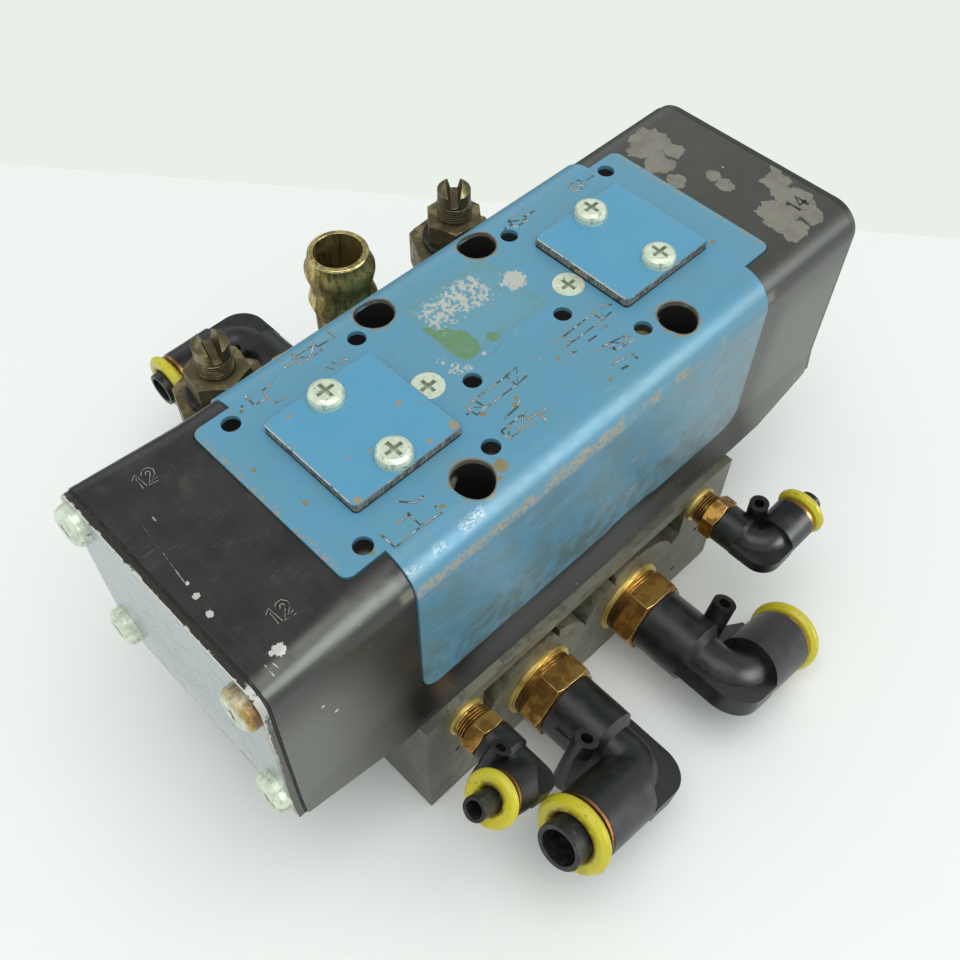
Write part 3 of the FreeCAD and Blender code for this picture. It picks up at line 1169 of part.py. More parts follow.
def main():
    os.makedirs("parts", exist_ok=True)
    save("sub_base", sub_base())
    save("base_gasket", base_gasket())
    save("valve_body", valve_body())
    save("top_cover", top_cover())
    save("cover_screws", cover_screws())
    for name, side in (("near", -1), ("far", 1)):
        gasket_top = COVER_TOP_Z + PLATE_GASKET
        edge_r = NEAR_END_EDGE_R if side < 0 else FAR_END_EDGE_R
        save(name + "_pilot_gasket", square_plate(side * PLATE_X, PLATE_SIDE, PLATE_CORNER_R, COVER_TOP_Z,
                                                  PLATE_GASKET, PLATE_SCREW_SHANK_R + SCREW_CLEARANCE))
        save(name + "_pilot_plate", square_plate(side * PLATE_X, PLATE_SIDE, PLATE_CORNER_R, gasket_top,
                                                 PLATE_THICKNESS, PLATE_SCREW_SHANK_R + SCREW_CLEARANCE))
        save(name + "_end_gasket", end_sheet(side, BODY_END_X, END_GASKET, edge_r, True))
        save(name + "_piston", piston(side))
        save(name + "_piston_seal", piston_seal(side))
    save("near_end_plate", end_sheet(-1, BODY_END_X + END_GASKET, END_PLATE, NEAR_END_EDGE_R, False))
    save("near_end_screws", near_end_screws())
    save("far_end_plate", far_end_plate())
    save("far_end_screws", far_end_screws())
    save("pilot_plate_screws", plate_screws())
    save("spool_sleeve", spool_sleeve())
    save("sleeve_seals", sleeve_seals())
    save("spool", spool())
    save_elbows()
    save("hose_barb", hose_barb())
    save_regulator("near_regulator", EXHAUST_PORT_POINTS[0], NEAR_HEX_TURN, NEAR_NUT_TURN, NEAR_SLOT_TURN)
    save_regulator("far_regulator", EXHAUST_PORT_POINTS[1], FAR_HEX_TURN, FAR_NUT_TURN, FAR_SLOT_TURN)


main()
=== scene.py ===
import json
import math

import bmesh
import bpy
from mathutils import Matrix, Vector

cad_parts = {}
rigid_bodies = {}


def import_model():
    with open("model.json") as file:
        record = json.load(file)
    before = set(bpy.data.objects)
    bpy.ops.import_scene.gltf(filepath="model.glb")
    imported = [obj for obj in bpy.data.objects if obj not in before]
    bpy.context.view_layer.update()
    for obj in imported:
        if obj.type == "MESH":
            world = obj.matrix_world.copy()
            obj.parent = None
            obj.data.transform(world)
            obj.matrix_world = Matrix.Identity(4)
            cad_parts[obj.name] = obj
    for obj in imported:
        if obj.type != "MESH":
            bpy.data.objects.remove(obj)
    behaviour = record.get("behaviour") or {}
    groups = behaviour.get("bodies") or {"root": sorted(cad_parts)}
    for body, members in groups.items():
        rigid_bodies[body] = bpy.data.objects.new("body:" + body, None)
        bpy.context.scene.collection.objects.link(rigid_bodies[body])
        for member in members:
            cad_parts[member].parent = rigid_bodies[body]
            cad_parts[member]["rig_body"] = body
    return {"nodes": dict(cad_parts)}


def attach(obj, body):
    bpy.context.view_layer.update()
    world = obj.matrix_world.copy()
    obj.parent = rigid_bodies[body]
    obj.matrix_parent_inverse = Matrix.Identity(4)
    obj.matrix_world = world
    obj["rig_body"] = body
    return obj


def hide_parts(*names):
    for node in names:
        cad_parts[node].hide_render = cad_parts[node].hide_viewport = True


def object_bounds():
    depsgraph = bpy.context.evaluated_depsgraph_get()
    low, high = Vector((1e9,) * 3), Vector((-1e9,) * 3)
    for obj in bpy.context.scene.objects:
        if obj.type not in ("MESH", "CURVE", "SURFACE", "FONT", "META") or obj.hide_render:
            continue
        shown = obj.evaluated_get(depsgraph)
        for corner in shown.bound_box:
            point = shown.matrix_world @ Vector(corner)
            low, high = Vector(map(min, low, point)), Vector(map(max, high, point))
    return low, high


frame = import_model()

MM = 0.001
nodes = frame["nodes"]
cad_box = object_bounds()


# The floor and the light: a pale sheet of card that ends in a straight edge behind the valve,
# with a pale wall beyond it, in a bright room with one broad soft lamp.
FLOOR_EDGE_LEFT = Vector((-6.9, 270.4, 0)) * MM
FLOOR_EDGE_RIGHT = Vector((230.8, -19.4, 0)) * MM
FLOOR_REACH = 3.0
FLOOR_DEPTH = 0.62
FLOOR_WHITE = (0.90, 0.915, 0.905)
WALL_WHITE = (0.82, 0.872, 0.80, 1)
ROOM_WHITE = (0.95, 1.0, 0.98, 1)
LAMP_PLACE = Vector((-0.14, -0.17, 1.02))
LAMP_WATTS = 5.4
ROOM_LEVEL = 0.67


class Tree:
    """A node tree whose inputs are fed with plain values or with other nodes' outputs."""

    def __init__(self, tree):
        self.tree = tree
        tree.nodes.clear()

    def feed(self, socket, value):
        if isinstance(value, bpy.types.NodeSocket):
            self.tree.links.new(value, socket)
        else:
            socket.default_value = value

    def node(self, kind, inputs=(), **settings):
        made = self.tree.nodes.new(kind)
        for name, value in settings.items():
            setattr(made, name, value)
        for name, value in dict(inputs).items():
            self.feed(made.inputs[name], value)
        return made

    def sums(self, operation, first, second=0.0):
        inputs = {0: first, 1: second}
        return self.node("ShaderNodeMath", inputs, operation=operation).outputs["Value"]

    def vectors(self, operation, first, second, output="Vector"):
        inputs = {0: first, 1: second}
        return self.node("ShaderNodeVectorMath", inputs, operation=operation).outputs[output]

    def step(self, value, low, high, start=0.0, end=1.0):
        """Turns value into start up to low and end from high on, smoothly between."""
        inputs = {"Value": value, "From Min": low, "From Max": high, "To Min": start, "To Max": end}
        made = self.node("ShaderNodeMapRange", inputs, interpolation_type="SMOOTHSTEP")
        return made.outputs["Result"]


class Finish(Tree):
    """A surface finish in the making: one shader, with layers of colour laid one over another."""

    def __init__(self, name, colour, roughness=0.5, metallic=0.0, specular=0.5):
        self.material = bpy.data.materials.new(name)
        self.material.use_nodes = True
        super().__init__(self.material.node_tree)
        self.tone = (*colour, 1)
        self.shader = self.node("ShaderNodeBsdfPrincipled", {
            "Base Color": self.tone, "Roughness": roughness, "Metallic": metallic,
            "Specular IOR Level": specular})
        self.node("ShaderNodeOutputMaterial", {"Surface": self.shader.outputs["BSDF"]})
        self.place = self.node("ShaderNodeTexCoord").outputs["Object"]

    def stretched(self, scale, turn=(0, 0, 0)):
        """The object's own coordinates, stretched and turned."""
        inputs = {"Vector": self.place, "Scale": scale, "Rotation": turn}
        return self.node("ShaderNodeMapping", inputs).outputs["Vector"]

    def noise(self, size, detail=4.0, place=None):
        """Cloudy noise whose clouds are about size millimetres across."""
        inputs = {"Vector": place or self.place, "Scale": 1 / (size * MM), "Detail": detail,
                  "Roughness": 0.55}
        return self.node("ShaderNodeTexNoise", inputs).outputs["Fac"]

    def cloud(self, size, low, high, detail=4.0, place=None):
        """Noise cut between two levels: 0 below low, 1 above high."""
        return self.step(self.noise(size, detail, place), low, high)

    def axis(self, name):
        return self.node("ShaderNodeSeparateXYZ", {"Vector": self.place}).outputs[name]

    def beyond(self, name, low, high):
        """0 where an axis is at low and 1 where it is at high, in millimetres."""
        return self.step(self.axis(name), low * MM, high * MM)

    def outside(self, name, low, high):
        """As beyond, with the axis counted both ways from the middle."""
        return self.step(self.sums("ABSOLUTE", self.axis(name)), low * MM, high * MM)

    def spot(self, centre, radius, soft=0.3, ragged=0.5, size=None):
        """A ragged round patch: 1 inside, 0 outside; centre and radius in millimetres."""
        away = self.vectors("DISTANCE", self.place, tuple(c * MM for c in centre), "Value")
        shift = self.sums("SUBTRACT", self.noise(size or radius * 0.6), 0.5)
        edge = self.sums("ADD", away, self.sums("MULTIPLY", shift, ragged * 2 * radius * MM))
        return self.step(edge, radius * (1 - soft) * MM, radius * MM, 1.0, 0.0)

    def spots(self, places, soft=0.2, ragged=0.5, size=None):
        return self.any_of(*(self.spot(centre, radius, soft, ragged, size) for centre, radius in places))

    def slab(self, centre, half, soft=0.4, ragged=0.0, size=3.0):
        """A ragged box: 1 inside, 0 outside; centre and half sizes in millimetres."""
        offset = self.vectors("SUBTRACT", self.place, tuple(c * MM for c in centre))
        folded = self.node("ShaderNodeVectorMath", {0: offset}, operation="ABSOLUTE").outputs["Vector"]
        parts = self.node("ShaderNodeSeparateXYZ", {
            "Vector": self.vectors("SUBTRACT", folded, tuple(h * MM for h in half))})
        most = self.sums("MAXIMUM", parts.outputs["X"], parts.outputs["Y"])
        most = self.sums("MAXIMUM", most, parts.outputs["Z"])
        if ragged:
            shift = self.sums("SUBTRACT", self.noise(size), 0.5)
            most = self.sums("ADD", most, self.sums("MULTIPLY", shift, 2 * ragged * MM))
        return self.step(most, -soft * MM, soft * MM, 1.0, 0.0)

    def streak(self, start, end, width, ragged=0.5):
        """A scratch between two points: 1 along it, 0 beyond half its width."""
        first = Vector(start) * MM
        run = Vector(end) * MM - first
        offset = self.vectors("SUBTRACT", self.place, tuple(first))
        share = self.vectors("DOT_PRODUCT", offset, tuple(run / run.length_squared), "Value")
        share = self.node("ShaderNodeClamp", {"Value": share}).outputs["Result"]
        along = self.node("ShaderNodeVectorMath", {0: tuple(run), "Scale": share}, operation="SCALE")
        away = self.vectors("DISTANCE", offset, along.outputs["Vector"], "Value")
        shift = self.sums("MULTIPLY", self.noise(width * 3), ragged * width * MM)
        return self.step(self.sums("ADD", away, shift), width * 0.3 * MM, width * 0.6 * MM, 1.0, 0.0)

    def all_of(self, *masks):
        result = masks[0]
        for mask in masks[1:]:
            result = self.sums("MULTIPLY", result, mask)
        return result

    def any_of(self, *masks):
        result = masks[0]
        for mask in masks[1:]:
            result = self.sums("MAXIMUM", result, mask)
        return result

    def mixed(self, mask, first, second):
        made = self.node("ShaderNodeMix", data_type="RGBA")
        self.feed(made.inputs[0], mask)
        for socket, value in ((made.inputs[6], first), (made.inputs[7], second)):
            self.feed(socket, (*value, 1) if isinstance(value, tuple) and len(value) == 3 else value)
        return made.outputs[2]

    def lay(self, mask, colour, share=1.0):
        """Lays a colour over all the colours so far, where mask is 1."""
        if share != 1.0:
            mask = self.sums("MULTIPLY", mask, share)
        self.tone = self.mixed(mask, self.tone, colour)
        self.feed(self.shader.inputs["Base Color"], self.tone)

    def roughness(self, value):
        self.feed(self.shader.inputs["Roughness"], value)

    def metallic(self, value):
        self.feed(self.shader.inputs["Metallic"], value)

    def bump(self, height, depth):
        """Raises the surface by height times depth millimetres, in looks only."""
        inputs = {"Height": height, "Distance": depth * MM}
        normal = self.node("ShaderNodeBump", inputs).outputs["Normal"]
        self.feed(self.shader.inputs["Normal"], normal)


def placed_object(name, data):
    made = bpy.data.objects.new(name, data)
    bpy.context.scene.collection.objects.link(made)
    return made


along_edge = (FLOOR_EDGE_RIGHT - FLOOR_EDGE_LEFT).normalized()
into_room = Vector((along_edge.y, -along_edge.x, 0))
if into_room.dot(FLOOR_EDGE_LEFT) > 0:
    into_room = -into_room
edge_middle = (FLOOR_EDGE_LEFT + FLOOR_EDGE_RIGHT) / 2 + Vector((0, 0, cad_box[0][2]))
left = edge_middle - along_edge * FLOOR_REACH
right = edge_middle + along_edge * FLOOR_REACH
depth = into_room * FLOOR_DEPTH
floor_mesh = bpy.data.meshes.new("floor")
floor_mesh.from_pydata([left, right, right + depth, left + depth], [], [(0, 1, 2, 3)])
if floor_mesh.polygons[0].normal.z < 0:
    floor_mesh.flip_normals()
floor_mesh.materials.append(Finish("floor_card", FLOOR_WHITE, roughness=0.55, specular=0.25).material)
placed_object("floor", floor_mesh)

# Seen directly, the room is the pale wall. Glossy surfaces mirror a room that is dark overhead
# and along its foot, with a bright window in front.
WINDOW_AT = (0.416, -0.809, 0.416)
world = bpy.data.worlds.new("room")
bpy.context.scene.world = world
world.use_nodes = True
room = Tree(world.node_tree)
direction = room.node("ShaderNodeTexCoord").outputs["Generated"]
rise = room.node("ShaderNodeSeparateXYZ", {"Vector": direction}).outputs["Z"]
overhead = room.step(rise, 0.50, 0.84, 0.95, 0.24)
skirting = room.step(rise, -0.05, 0.22, 0.12, 1.0)
toward_window = room.vectors("DOT_PRODUCT", direction, WINDOW_AT, "Value")
window = room.step(toward_window, 0.93, 0.98, 0.0, 9.0)
mirrored_level = room.sums("ADD", room.sums("MULTIPLY", overhead, skirting), window)
lit = room.node("ShaderNodeBackground", {"Color": ROOM_WHITE, "Strength": ROOM_LEVEL})
mirrored = room.node("ShaderNodeBackground", {"Color": ROOM_WHITE, "Strength": mirrored_level})
seen = room.node("ShaderNodeBackground", {"Color": WALL_WHITE})
rays = room.node("ShaderNodeLightPath").outputs
unseen = room.node("ShaderNodeMixShader", {
    "Fac": rays["Is Glossy Ray"], 1: lit.outputs["Background"], 2: mirrored.outputs["Background"]})
seen_rays = room.sums("MAXIMUM", rays["Is Camera Ray"], rays["Is Transmission Ray"])
whole = room.node("ShaderNodeMixShader", {
    "Fac": seen_rays, 1: unseen.outputs["Shader"], 2: seen.outputs["Background"]})
room.node("ShaderNodeOutputWorld", {"Surface": whole.outputs["Shader"]})

lamp_data = bpy.data.lights.new("softbox", "AREA")
lamp_data.shape = "RECTANGLE"
lamp_data.size = 0.9
lamp_data.size_y = 0.7
lamp_data.energy = LAMP_WATTS
lamp_data.color = (1.0, 0.99, 0.97)
lamp = placed_object("softbox", lamp_data)
lamp.location = LAMP_PLACE
lamp.rotation_euler = (Vector((0, 0, 0.05)) - LAMP_PLACE).to_track_quat("-Z", "Y").to_euler()

# The camera stands above the near front corner.
CAMERA_RIGHT = Vector((0.71284, -0.70127, 0.0093))
CAMERA_DOWN = Vector((-0.56506, -0.58214, -0.58465))
CAMERA_AHEAD = Vector((0.41541, 0.4115, -0.81123))
CAMERA_PLACE = Vector((-122.07, -115.19, 281.0)) * MM
camera_data = bpy.data.cameras.new("camera")
camera_data.sensor_width = 36.0
camera_data.lens = 41.19
camera_data.clip_start = 0.01
camera_data.clip_end = 20.0
camera = placed_object("camera", camera_data)
camera_turn = Matrix((CAMERA_RIGHT, -CAMERA_DOWN, -CAMERA_AHEAD)).transposed().to_4x4()
camera.matrix_world = Matrix.Translation(CAMERA_PLACE) @ camera_turn
bpy.context.scene.camera = camera
bpy.context.scene.view_settings.view_transform = "Standard"


# The sub-base: one grey-olive casting, left as cast but for its machined faces, with years of
# oily dirt in the pockets round its ports. Its near side and the far part of its front face are
# painted darker as shade.
def rounded_copy(node, width, finish, edge_finish=None, segments=2, sharp=32):
    """A copy of a CAD node with its sharp edges rounded over width millimetres, in the node's place."""
    source = nodes[node]
    made = bpy.data.meshes.new(node + "_finished")
    made.from_pydata([v.co[:] for v in source.data.vertices], [],
                     [tuple(p.vertices) for p in source.data.polygons])
    shell = bmesh.new()
    shell.from_mesh(made)
    bmesh.ops.remove_doubles(shell, verts=shell.verts, dist=2e-6)
    bmesh.ops.dissolve_limit(shell, angle_limit=math.radians(0.6), verts=shell.verts, edges=shell.edges)
    for face in shell.faces:
        face.smooth = True
    shell.to_mesh(made)
    shell.free()
    made.set_sharp_from_angle(angle=math.radians(sharp))
    made.materials.append(finish.material)
    piece = placed_object(node + "_finished", made)
    edges = piece.modifiers.new("edges", "BEVEL")
    edges.width = width * MM
    edges.segments = segments
    edges.limit_method = "ANGLE"
    edges.angle_limit = math.radians(40)
    edges.harden_normals = True
    if edge_finish:
        made.materials.append(edge_finish.material)
        edges.material = 1
    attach(piece, source["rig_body"])
    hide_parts(node)
    return piece


def dress(finish, *names):
    """Gives CAD nodes that keep their own shape a finish."""
    for name in names:
        mesh = nodes[name].data
        mesh.materials.clear()
        mesh.materials.append(finish.material)


casting = Finish("cast_base", (0.150, 0.146, 0.104), roughness=0.5, specular=0.45)
casting.lay(casting.cloud(22, 0.30, 0.75, 2), (0.185, 0.180, 0.135))
casting.lay(casting.cloud(18, 0.40, 0.75, 3), (0.100, 0.090, 0.055), 0.5)
casting.lay(casting.cloud(4, 0.60, 0.80, 5), (0.060, 0.050, 0.030), 0.45)
casting.lay(casting.spot((-47, -36, 33), 14, 0.8, 0.5, 5), (0.17, 0.125, 0.045), 0.6)
casting.lay(casting.spot((-18, -36, 36), 12, 0.8, 0.5, 5), (0.13, 0.10, 0.045), 0.5)
front = casting.beyond("Y", -33, -35.5)
casting.lay(casting.all_of(front, casting.cloud(3, 0.50, 0.60)), (0.045, 0.040, 0.024), 0.5)
casting.lay(casting.cloud(0.9, 0.66, 0.74, 2), (0.27, 0.27, 0.24))
# Painted shade: the near side of the base is darkened.
casting.lay(casting.beyond("X", -50, -56), (0.045, 0.044, 0.032), 0.75)
# Painted shade: the front face darkens towards the far end.
casting.lay(casting.all_of(front, casting.beyond("X", -10, 30)), (0.075, 0.068, 0.046), 0.5)
casting.roughness(casting.step(casting.noise(9), 0.3, 0.7, 0.36, 0.48))
casting.bump(casting.sums("ADD", casting.noise(0.7, 3), casting.noise(5, 2)), 0.035)

casting_edge = Finish("cast_base_edge", (0.17, 0.165, 0.125), roughness=0.42)
casting_edge.lay(casting_edge.cloud(2.6, 0.42, 0.60), (0.36, 0.355, 0.32))
rounded_copy("sub_base", 0.35, casting, casting_edge)


# The gaskets are punched from black rubber sheet, and the ring seals are turned from it.
rubber = Finish("black_rubber", (0.014, 0.014, 0.013), roughness=0.62, specular=0.35)
rubber.lay(rubber.cloud(2.5, 0.5, 0.7), (0.045, 0.044, 0.038))
rubber.bump(rubber.noise(0.4, 2), 0.03)
dress(rubber, "base_gasket", "sleeve_seals", "near_piston_seal", "far_piston_seal", "near_end_gasket",
      "far_end_gasket", "near_pilot_gasket", "far_pilot_gasket", "near_regulator_washer",
      "far_regulator_washer")


# The spool, its ported sleeve and the two pilot pistons are turned parts that sit inside.
def turned_metal(name, colour, roughness):
    """A turned metal finish with fine tool rings and slight staining."""
    finish = Finish(name, colour, metallic=1.0)
    finish.lay(finish.cloud(7, 0.35, 0.7), tuple(c * 0.72 for c in colour))
    rings = finish.noise(0.35, 2, finish.stretched((6.0, 1.0, 1.0)))
    finish.roughness(finish.step(rings, 0.3, 0.7, roughness * 0.8, roughness * 1.25))
    finish.bump(rings, 0.012)
    return finish


dress(turned_metal("ground_steel", (0.56, 0.55, 0.52), 0.22), "spool")
dress(turned_metal("clear_anodised", (0.66, 0.67, 0.66), 0.34), "spool_sleeve", "near_piston", "far_piston")


# The valve body: a long casting under black paint, rubbed grey on its front rounding with a painted
# highlight along it, chipped at the near end and bare in patches at the far end. Its fixing holes are
# drilled through. Painted light lightens it towards the far end and on the front of both ends, with a
# painted floor reflection low on the ends, and painted shade darkens the strip under the cover.
BODY_TOP = 103.2
HOLE_CENTRES = ((-32.0, -24.0), (32.0, -24.0), (-16.0, 24.0), (16.0, 24.0))
BARE_PATCHES = (
    ((74.5, 20.5, BODY_TOP), 6.0), ((70.4, 13.5, BODY_TOP), 4.0), ((68.8, 6.4, BODY_TOP), 2.8),
    ((76.8, 14.4, BODY_TOP), 3.0), ((76.4, 1.4, BODY_TOP), 2.2), ((76.0, -2.9, BODY_TOP), 2.3),
    ((77.5, -18.6, BODY_TOP), 5.6), ((83.6, -18.0, BODY_TOP), 5.6), ((86.4, -11.5, BODY_TOP), 4.0),
    ((75.0, -24.0, BODY_TOP), 4.2), ((90.6, -8.2, BODY_TOP), 1.8), ((82.0, -24.6, BODY_TOP), 3.0))
SMALL_CHIPS = (
    ((-86.8, -3.9, BODY_TOP), 0.45), ((-87.2, -7.3, BODY_TOP), 0.75), ((-87.7, -12.1, BODY_TOP), 0.8),
    ((-83.1, -26.7, BODY_TOP), 1.35), ((-84.6, -26.2, BODY_TOP), 0.6), ((-92.0, -26.9, BODY_TOP), 1.0),
    ((-80.6, -32.8, 84.6), 0.45), ((-77.9, -32.8, 78.6), 0.5), ((81.0, 1.6, BODY_TOP), 0.22))
black = Finish("black_body_paint", (0.0125, 0.0125, 0.0125), specular=0.5)
black.lay(black.cloud(14, 0.35, 0.68, 5), (0.026, 0.0265, 0.025))
# Painted reflection: the paint is lighter towards the far end.
far_painted_sheen = black.beyond("X", -60, 70)
black.lay(far_painted_sheen, (0.052, 0.053, 0.046), 0.75)
black.lay(black.cloud(6, 0.54, 0.76, 6), (0.075, 0.073, 0.062), 0.35)
# Painted light: the front side of both black ends is lighter than the top.
ends_only = black.outside("X", 57, 64)
front_side = black.all_of(black.beyond("Y", -30.5, -32.4), ends_only)
black.lay(front_side, (0.030, 0.031, 0.027), 0.75)
# A painted reflection of the bright floor lightens the lower front of both ends.
painted_floor_reflection = black.any_of(black.all_of(black.beyond("X", -60, -86), black.beyond("Z", 98, 78)),
                     black.all_of(black.beyond("X", 58, 70), black.beyond("Z", 100, 80)))
painted_floor_reflection = black.all_of(front_side, painted_floor_reflection)
black.lay(painted_floor_reflection, (0.145, 0.150, 0.130), 0.85)
# Painted shade: the strip of body under the cover, just above the base, is darkened to near black.
foot = black.all_of(black.beyond("Z", 60, 57), black.outside("X", 62, 58))
black.lay(foot, (0.005, 0.005, 0.004), 0.9)
# The near front rounding is worn grey, with a painted highlight along it.
rounding = black.slab((-78, -29.6, 101.6), (20, 2.0, 1.9), 1.0)
black.lay(black.all_of(rounding, black.cloud(9, 0.30, 0.60, 3)), (0.125, 0.128, 0.110), 0.7)
grooves = black.noise(0.35, 1, black.stretched((0.06, 1.0, 1.0), (0, 0, 0.7)))
hairlines = black.all_of(black.step(grooves, 0.70, 0.74), black.cloud(14, 0.45, 0.6))
black.lay(hairlines, (0.13, 0.13, 0.115), 0.35)
crossing = black.noise(0.35, 1, black.stretched((1.0, 0.07, 1.0), (0, 0, -0.25)))
black.lay(black.all_of(black.step(crossing, 0.71, 0.76), black.cloud(11, 0.5, 0.62)),
          (0.11, 0.11, 0.10), 0.35)
bare = black.spots(BARE_PATCHES, 0.10, 0.75, 3.2)
black.lay(bare, (0.200, 0.192, 0.158))
black.lay(black.all_of(bare, black.cloud(3.5, 0.45, 0.70)), (0.165, 0.150, 0.125))
black.lay(black.all_of(bare, black.cloud(0.9, 0.66, 0.72)), (0.06, 0.057, 0.050), 0.6)
scratches = black.any_of(
    black.streak((-85.4, 12.8, BODY_TOP), (-86.0, 6.2, BODY_TOP), 0.20, 0.9),
    black.streak((-86.0, 6.2, BODY_TOP), (-86.7, 0.0, BODY_TOP), 0.34, 0.8),
    black.streak((-86.7, 0.0, BODY_TOP), (-87.1, -3.8, BODY_TOP), 0.50, 0.6),
    black.streak((-82.9, 12.9, BODY_TOP), (-82.9, 11.9, BODY_TOP), 0.45, 0.2),
    black.streak((-79.1, -0.4, BODY_TOP), (-70.9, -5.3, BODY_TOP), 0.14, 0.9))
black.lay(scratches, (0.42, 0.42, 0.38), 0.75)
smears = black.any_of(
    black.streak((-89.4, 9.5, BODY_TOP), (-86.2, 7.2, BODY_TOP), 0.8, 1.2),
    black.streak((-91.0, 4.7, BODY_TOP), (-88.1, 2.8, BODY_TOP), 1.0, 1.2),
    black.streak((-88.4, -16.8, BODY_TOP), (-88.0, -20.7, BODY_TOP), 0.8, 1.4),
    black.streak((-74.4, -3.6, BODY_TOP), (-73.2, -5.8, BODY_TOP), 0.5, 1.0))
black.lay(black.all_of(smears, black.cloud(0.7, 0.40, 0.60)), (0.16, 0.16, 0.15), 0.8)
chipped = black.any_of(
    black.spots(SMALL_CHIPS, 0.15, 0.6, 0.5),
    black.streak((-86.9, -27.4, 103.1), (-86.9, -30.2, 102.6), 0.5),
    black.streak((-85.6, -28.0, 103.1), (-85.3, -29.7, 102.8), 0.4))
black.lay(chipped, (0.66, 0.66, 0.62))
nicks = black.all_of(black.beyond("Y", -30, -32), black.cloud(1.3, 0.715, 0.735, 3))
black.lay(nicks, (0.30, 0.30, 0.27), 0.8)
drilled = black.any_of(*(black.slab((x, y, 75), (4.7, 4.7, 27.9), 0.1) for x, y in HOLE_CENTRES))
black.lay(drilled, (0.020, 0.020, 0.018))
lit_walls = black.any_of(*(black.spot((x - 2.9, y + 2.9, 99), 3.4, 0.25, 0.25, 1.5)
                           for x, y in HOLE_CENTRES[:2]))
lit_walls = black.all_of(drilled, lit_walls)
black.lay(lit_walls, (0.40, 0.44, 0.34))
hole_floors = black.all_of(black.beyond("Z", 99.4, 98.6), black.beyond("Z", 96.2, 97.2))
undrilled = black.sums("SUBTRACT", 1.0, drilled)
black.lay(black.all_of(hole_floors, black.outside("X", 60, 58), undrilled), (0.16, 0.15, 0.12))
black.lay(black.spot((23.8, -20.85, 98), 3.4, 0.05, 0.0), (0.46, 0.42, 0.20))
brushed = black.noise(0.5, 3, black.stretched((1.0, 0.05, 1.0)))
sheen = black.step(brushed, 0.3, 0.7, 0.31, 0.38)
black.roughness(black.sums("ADD", sheen, black.sums("MULTIPLY", bare, 0.18)))
black.metallic(black.sums("MULTIPLY", chipped, 0.5))
raw = black.any_of(bare, chipped, scratches)
height = black.sums("SUBTRACT", black.sums("MULTIPLY", black.noise(0.8, 3), 0.5), raw)
black.bump(black.sums("ADD", height, black.sums("MULTIPLY", brushed, 0.08)), 0.04)

black_edge = Finish("black_body_edge", (0.030, 0.030, 0.027), roughness=0.38)
worn = black_edge.all_of(black_edge.cloud(1.5, 0.46, 0.54, 5), black_edge.beyond("X", -86, -91),
                         black_edge.beyond("Y", -26, -29))
worn = black_edge.any_of(worn, black_edge.cloud(3, 0.66, 0.70, 5))
black_edge.lay(worn, (0.50, 0.49, 0.45))
black_edge.metallic(black_edge.sums("MULTIPLY", worn, 0.6))
rounded_copy("valve_body", 0.3, black, black_edge)


# The top cover: thin sheet, folded over the body and painted blue. The paint is scuffed to the
# metal along the front fold, grimy on the sides, and stained where a label has been peeled off.
# The far part of its sides is painted lighter as light.
COVER_TOP = 103.7
LABEL = (1.2, 9.6, COVER_TOP)
BLUE = (0.096, 0.288, 0.440)
BROWN_FLAKES = (
    ((-25.6, -25.6, COVER_TOP), 1.6), ((-27.8, -27.4, COVER_TOP), 0.9), ((-19.0, -13.6, COVER_TOP), 0.7),
    ((3.6, -13.7, COVER_TOP), 0.6), ((-41.0, -24.6, COVER_TOP), 0.6), ((-36.8, 27.5, COVER_TOP), 0.7),
    ((22.0, 30.0, 103), 0.8), ((-62.0, 8.0, COVER_TOP), 0.6), ((-59.6, -5.4, COVER_TOP), 0.6),
    ((-12.4, -16.6, COVER_TOP), 0.8), ((-10.8, -15.4, COVER_TOP), 0.5), ((7.4, -25.6, COVER_TOP), 0.5),
    ((40.2, 27.4, COVER_TOP), 0.6), ((57.0, -14.0, COVER_TOP), 0.6), ((-57.8, -23.0, COVER_TOP), 0.7))
blue = Finish("blue_cover_paint", BLUE, roughness=0.34)
fine = blue.noise(1.6, 5)
side = blue.beyond("Z", 98.5, 92.5)
low_side = blue.beyond("Z", 80, 60)
blue.lay(blue.cloud(20, 0.3, 0.7), (0.100, 0.282, 0.400))
blue.lay(blue.cloud(9, 0.42, 0.66, 6), (0.14, 0.255, 0.285), 0.25)
blue.lay(blue.all_of(side, blue.cloud(7, 0.40, 0.62, 6)), (0.115, 0.200, 0.215), 0.5)
blue.lay(blue.all_of(low_side, blue.cloud(4, 0.42, 0.60, 6)), (0.085, 0.110, 0.090), 0.6)
# Painted light: the far part of the sides is lighter.
blue.lay(blue.all_of(side, blue.beyond("X", 15, 60)), (0.20, 0.26, 0.24), 0.35)
dots = blue.node("ShaderNodeTexVoronoi", {"Vector": blue.place, "Scale": 1 / (3.4 * MM)})
specks = blue.sums("ADD", dots.outputs["Distance"], blue.sums("MULTIPLY", blue.noise(0.6), 0.16))
specks = blue.step(specks, 0.19, 0.15)
specks = blue.all_of(specks, blue.cloud(7, 0.50, 0.56, 2))
blue.lay(specks, (0.24, 0.21, 0.14), 0.85)
chafed = blue.cloud(1.1, 0.655, 0.675, 5)
blue.lay(blue.all_of(chafed, blue.cloud(10, 0.50, 0.60, 2)), (0.28, 0.29, 0.25), 0.7)
scrapes = blue.noise(0.8, 2, blue.stretched((0.09, 1.0, 1.0), (0, 0, 0.1)))
blue.lay(blue.all_of(side, blue.step(scrapes, 0.64, 0.69)), (0.32, 0.32, 0.26), 0.8)
hair = blue.noise(0.35, 1, blue.stretched((0.05, 1.0, 1.0), (0, 0, 0.35)))
blue.lay(blue.all_of(blue.step(hair, 0.70, 0.75), blue.cloud(12, 0.45, 0.6, 2)), (0.26, 0.34, 0.36), 0.6)
tongue_rim = blue.all_of(blue.outside("X", 63.4, 65.3), blue.cloud(1.0, 0.50, 0.58))
blue.lay(tongue_rim, (0.30, 0.26, 0.18), 0.85)

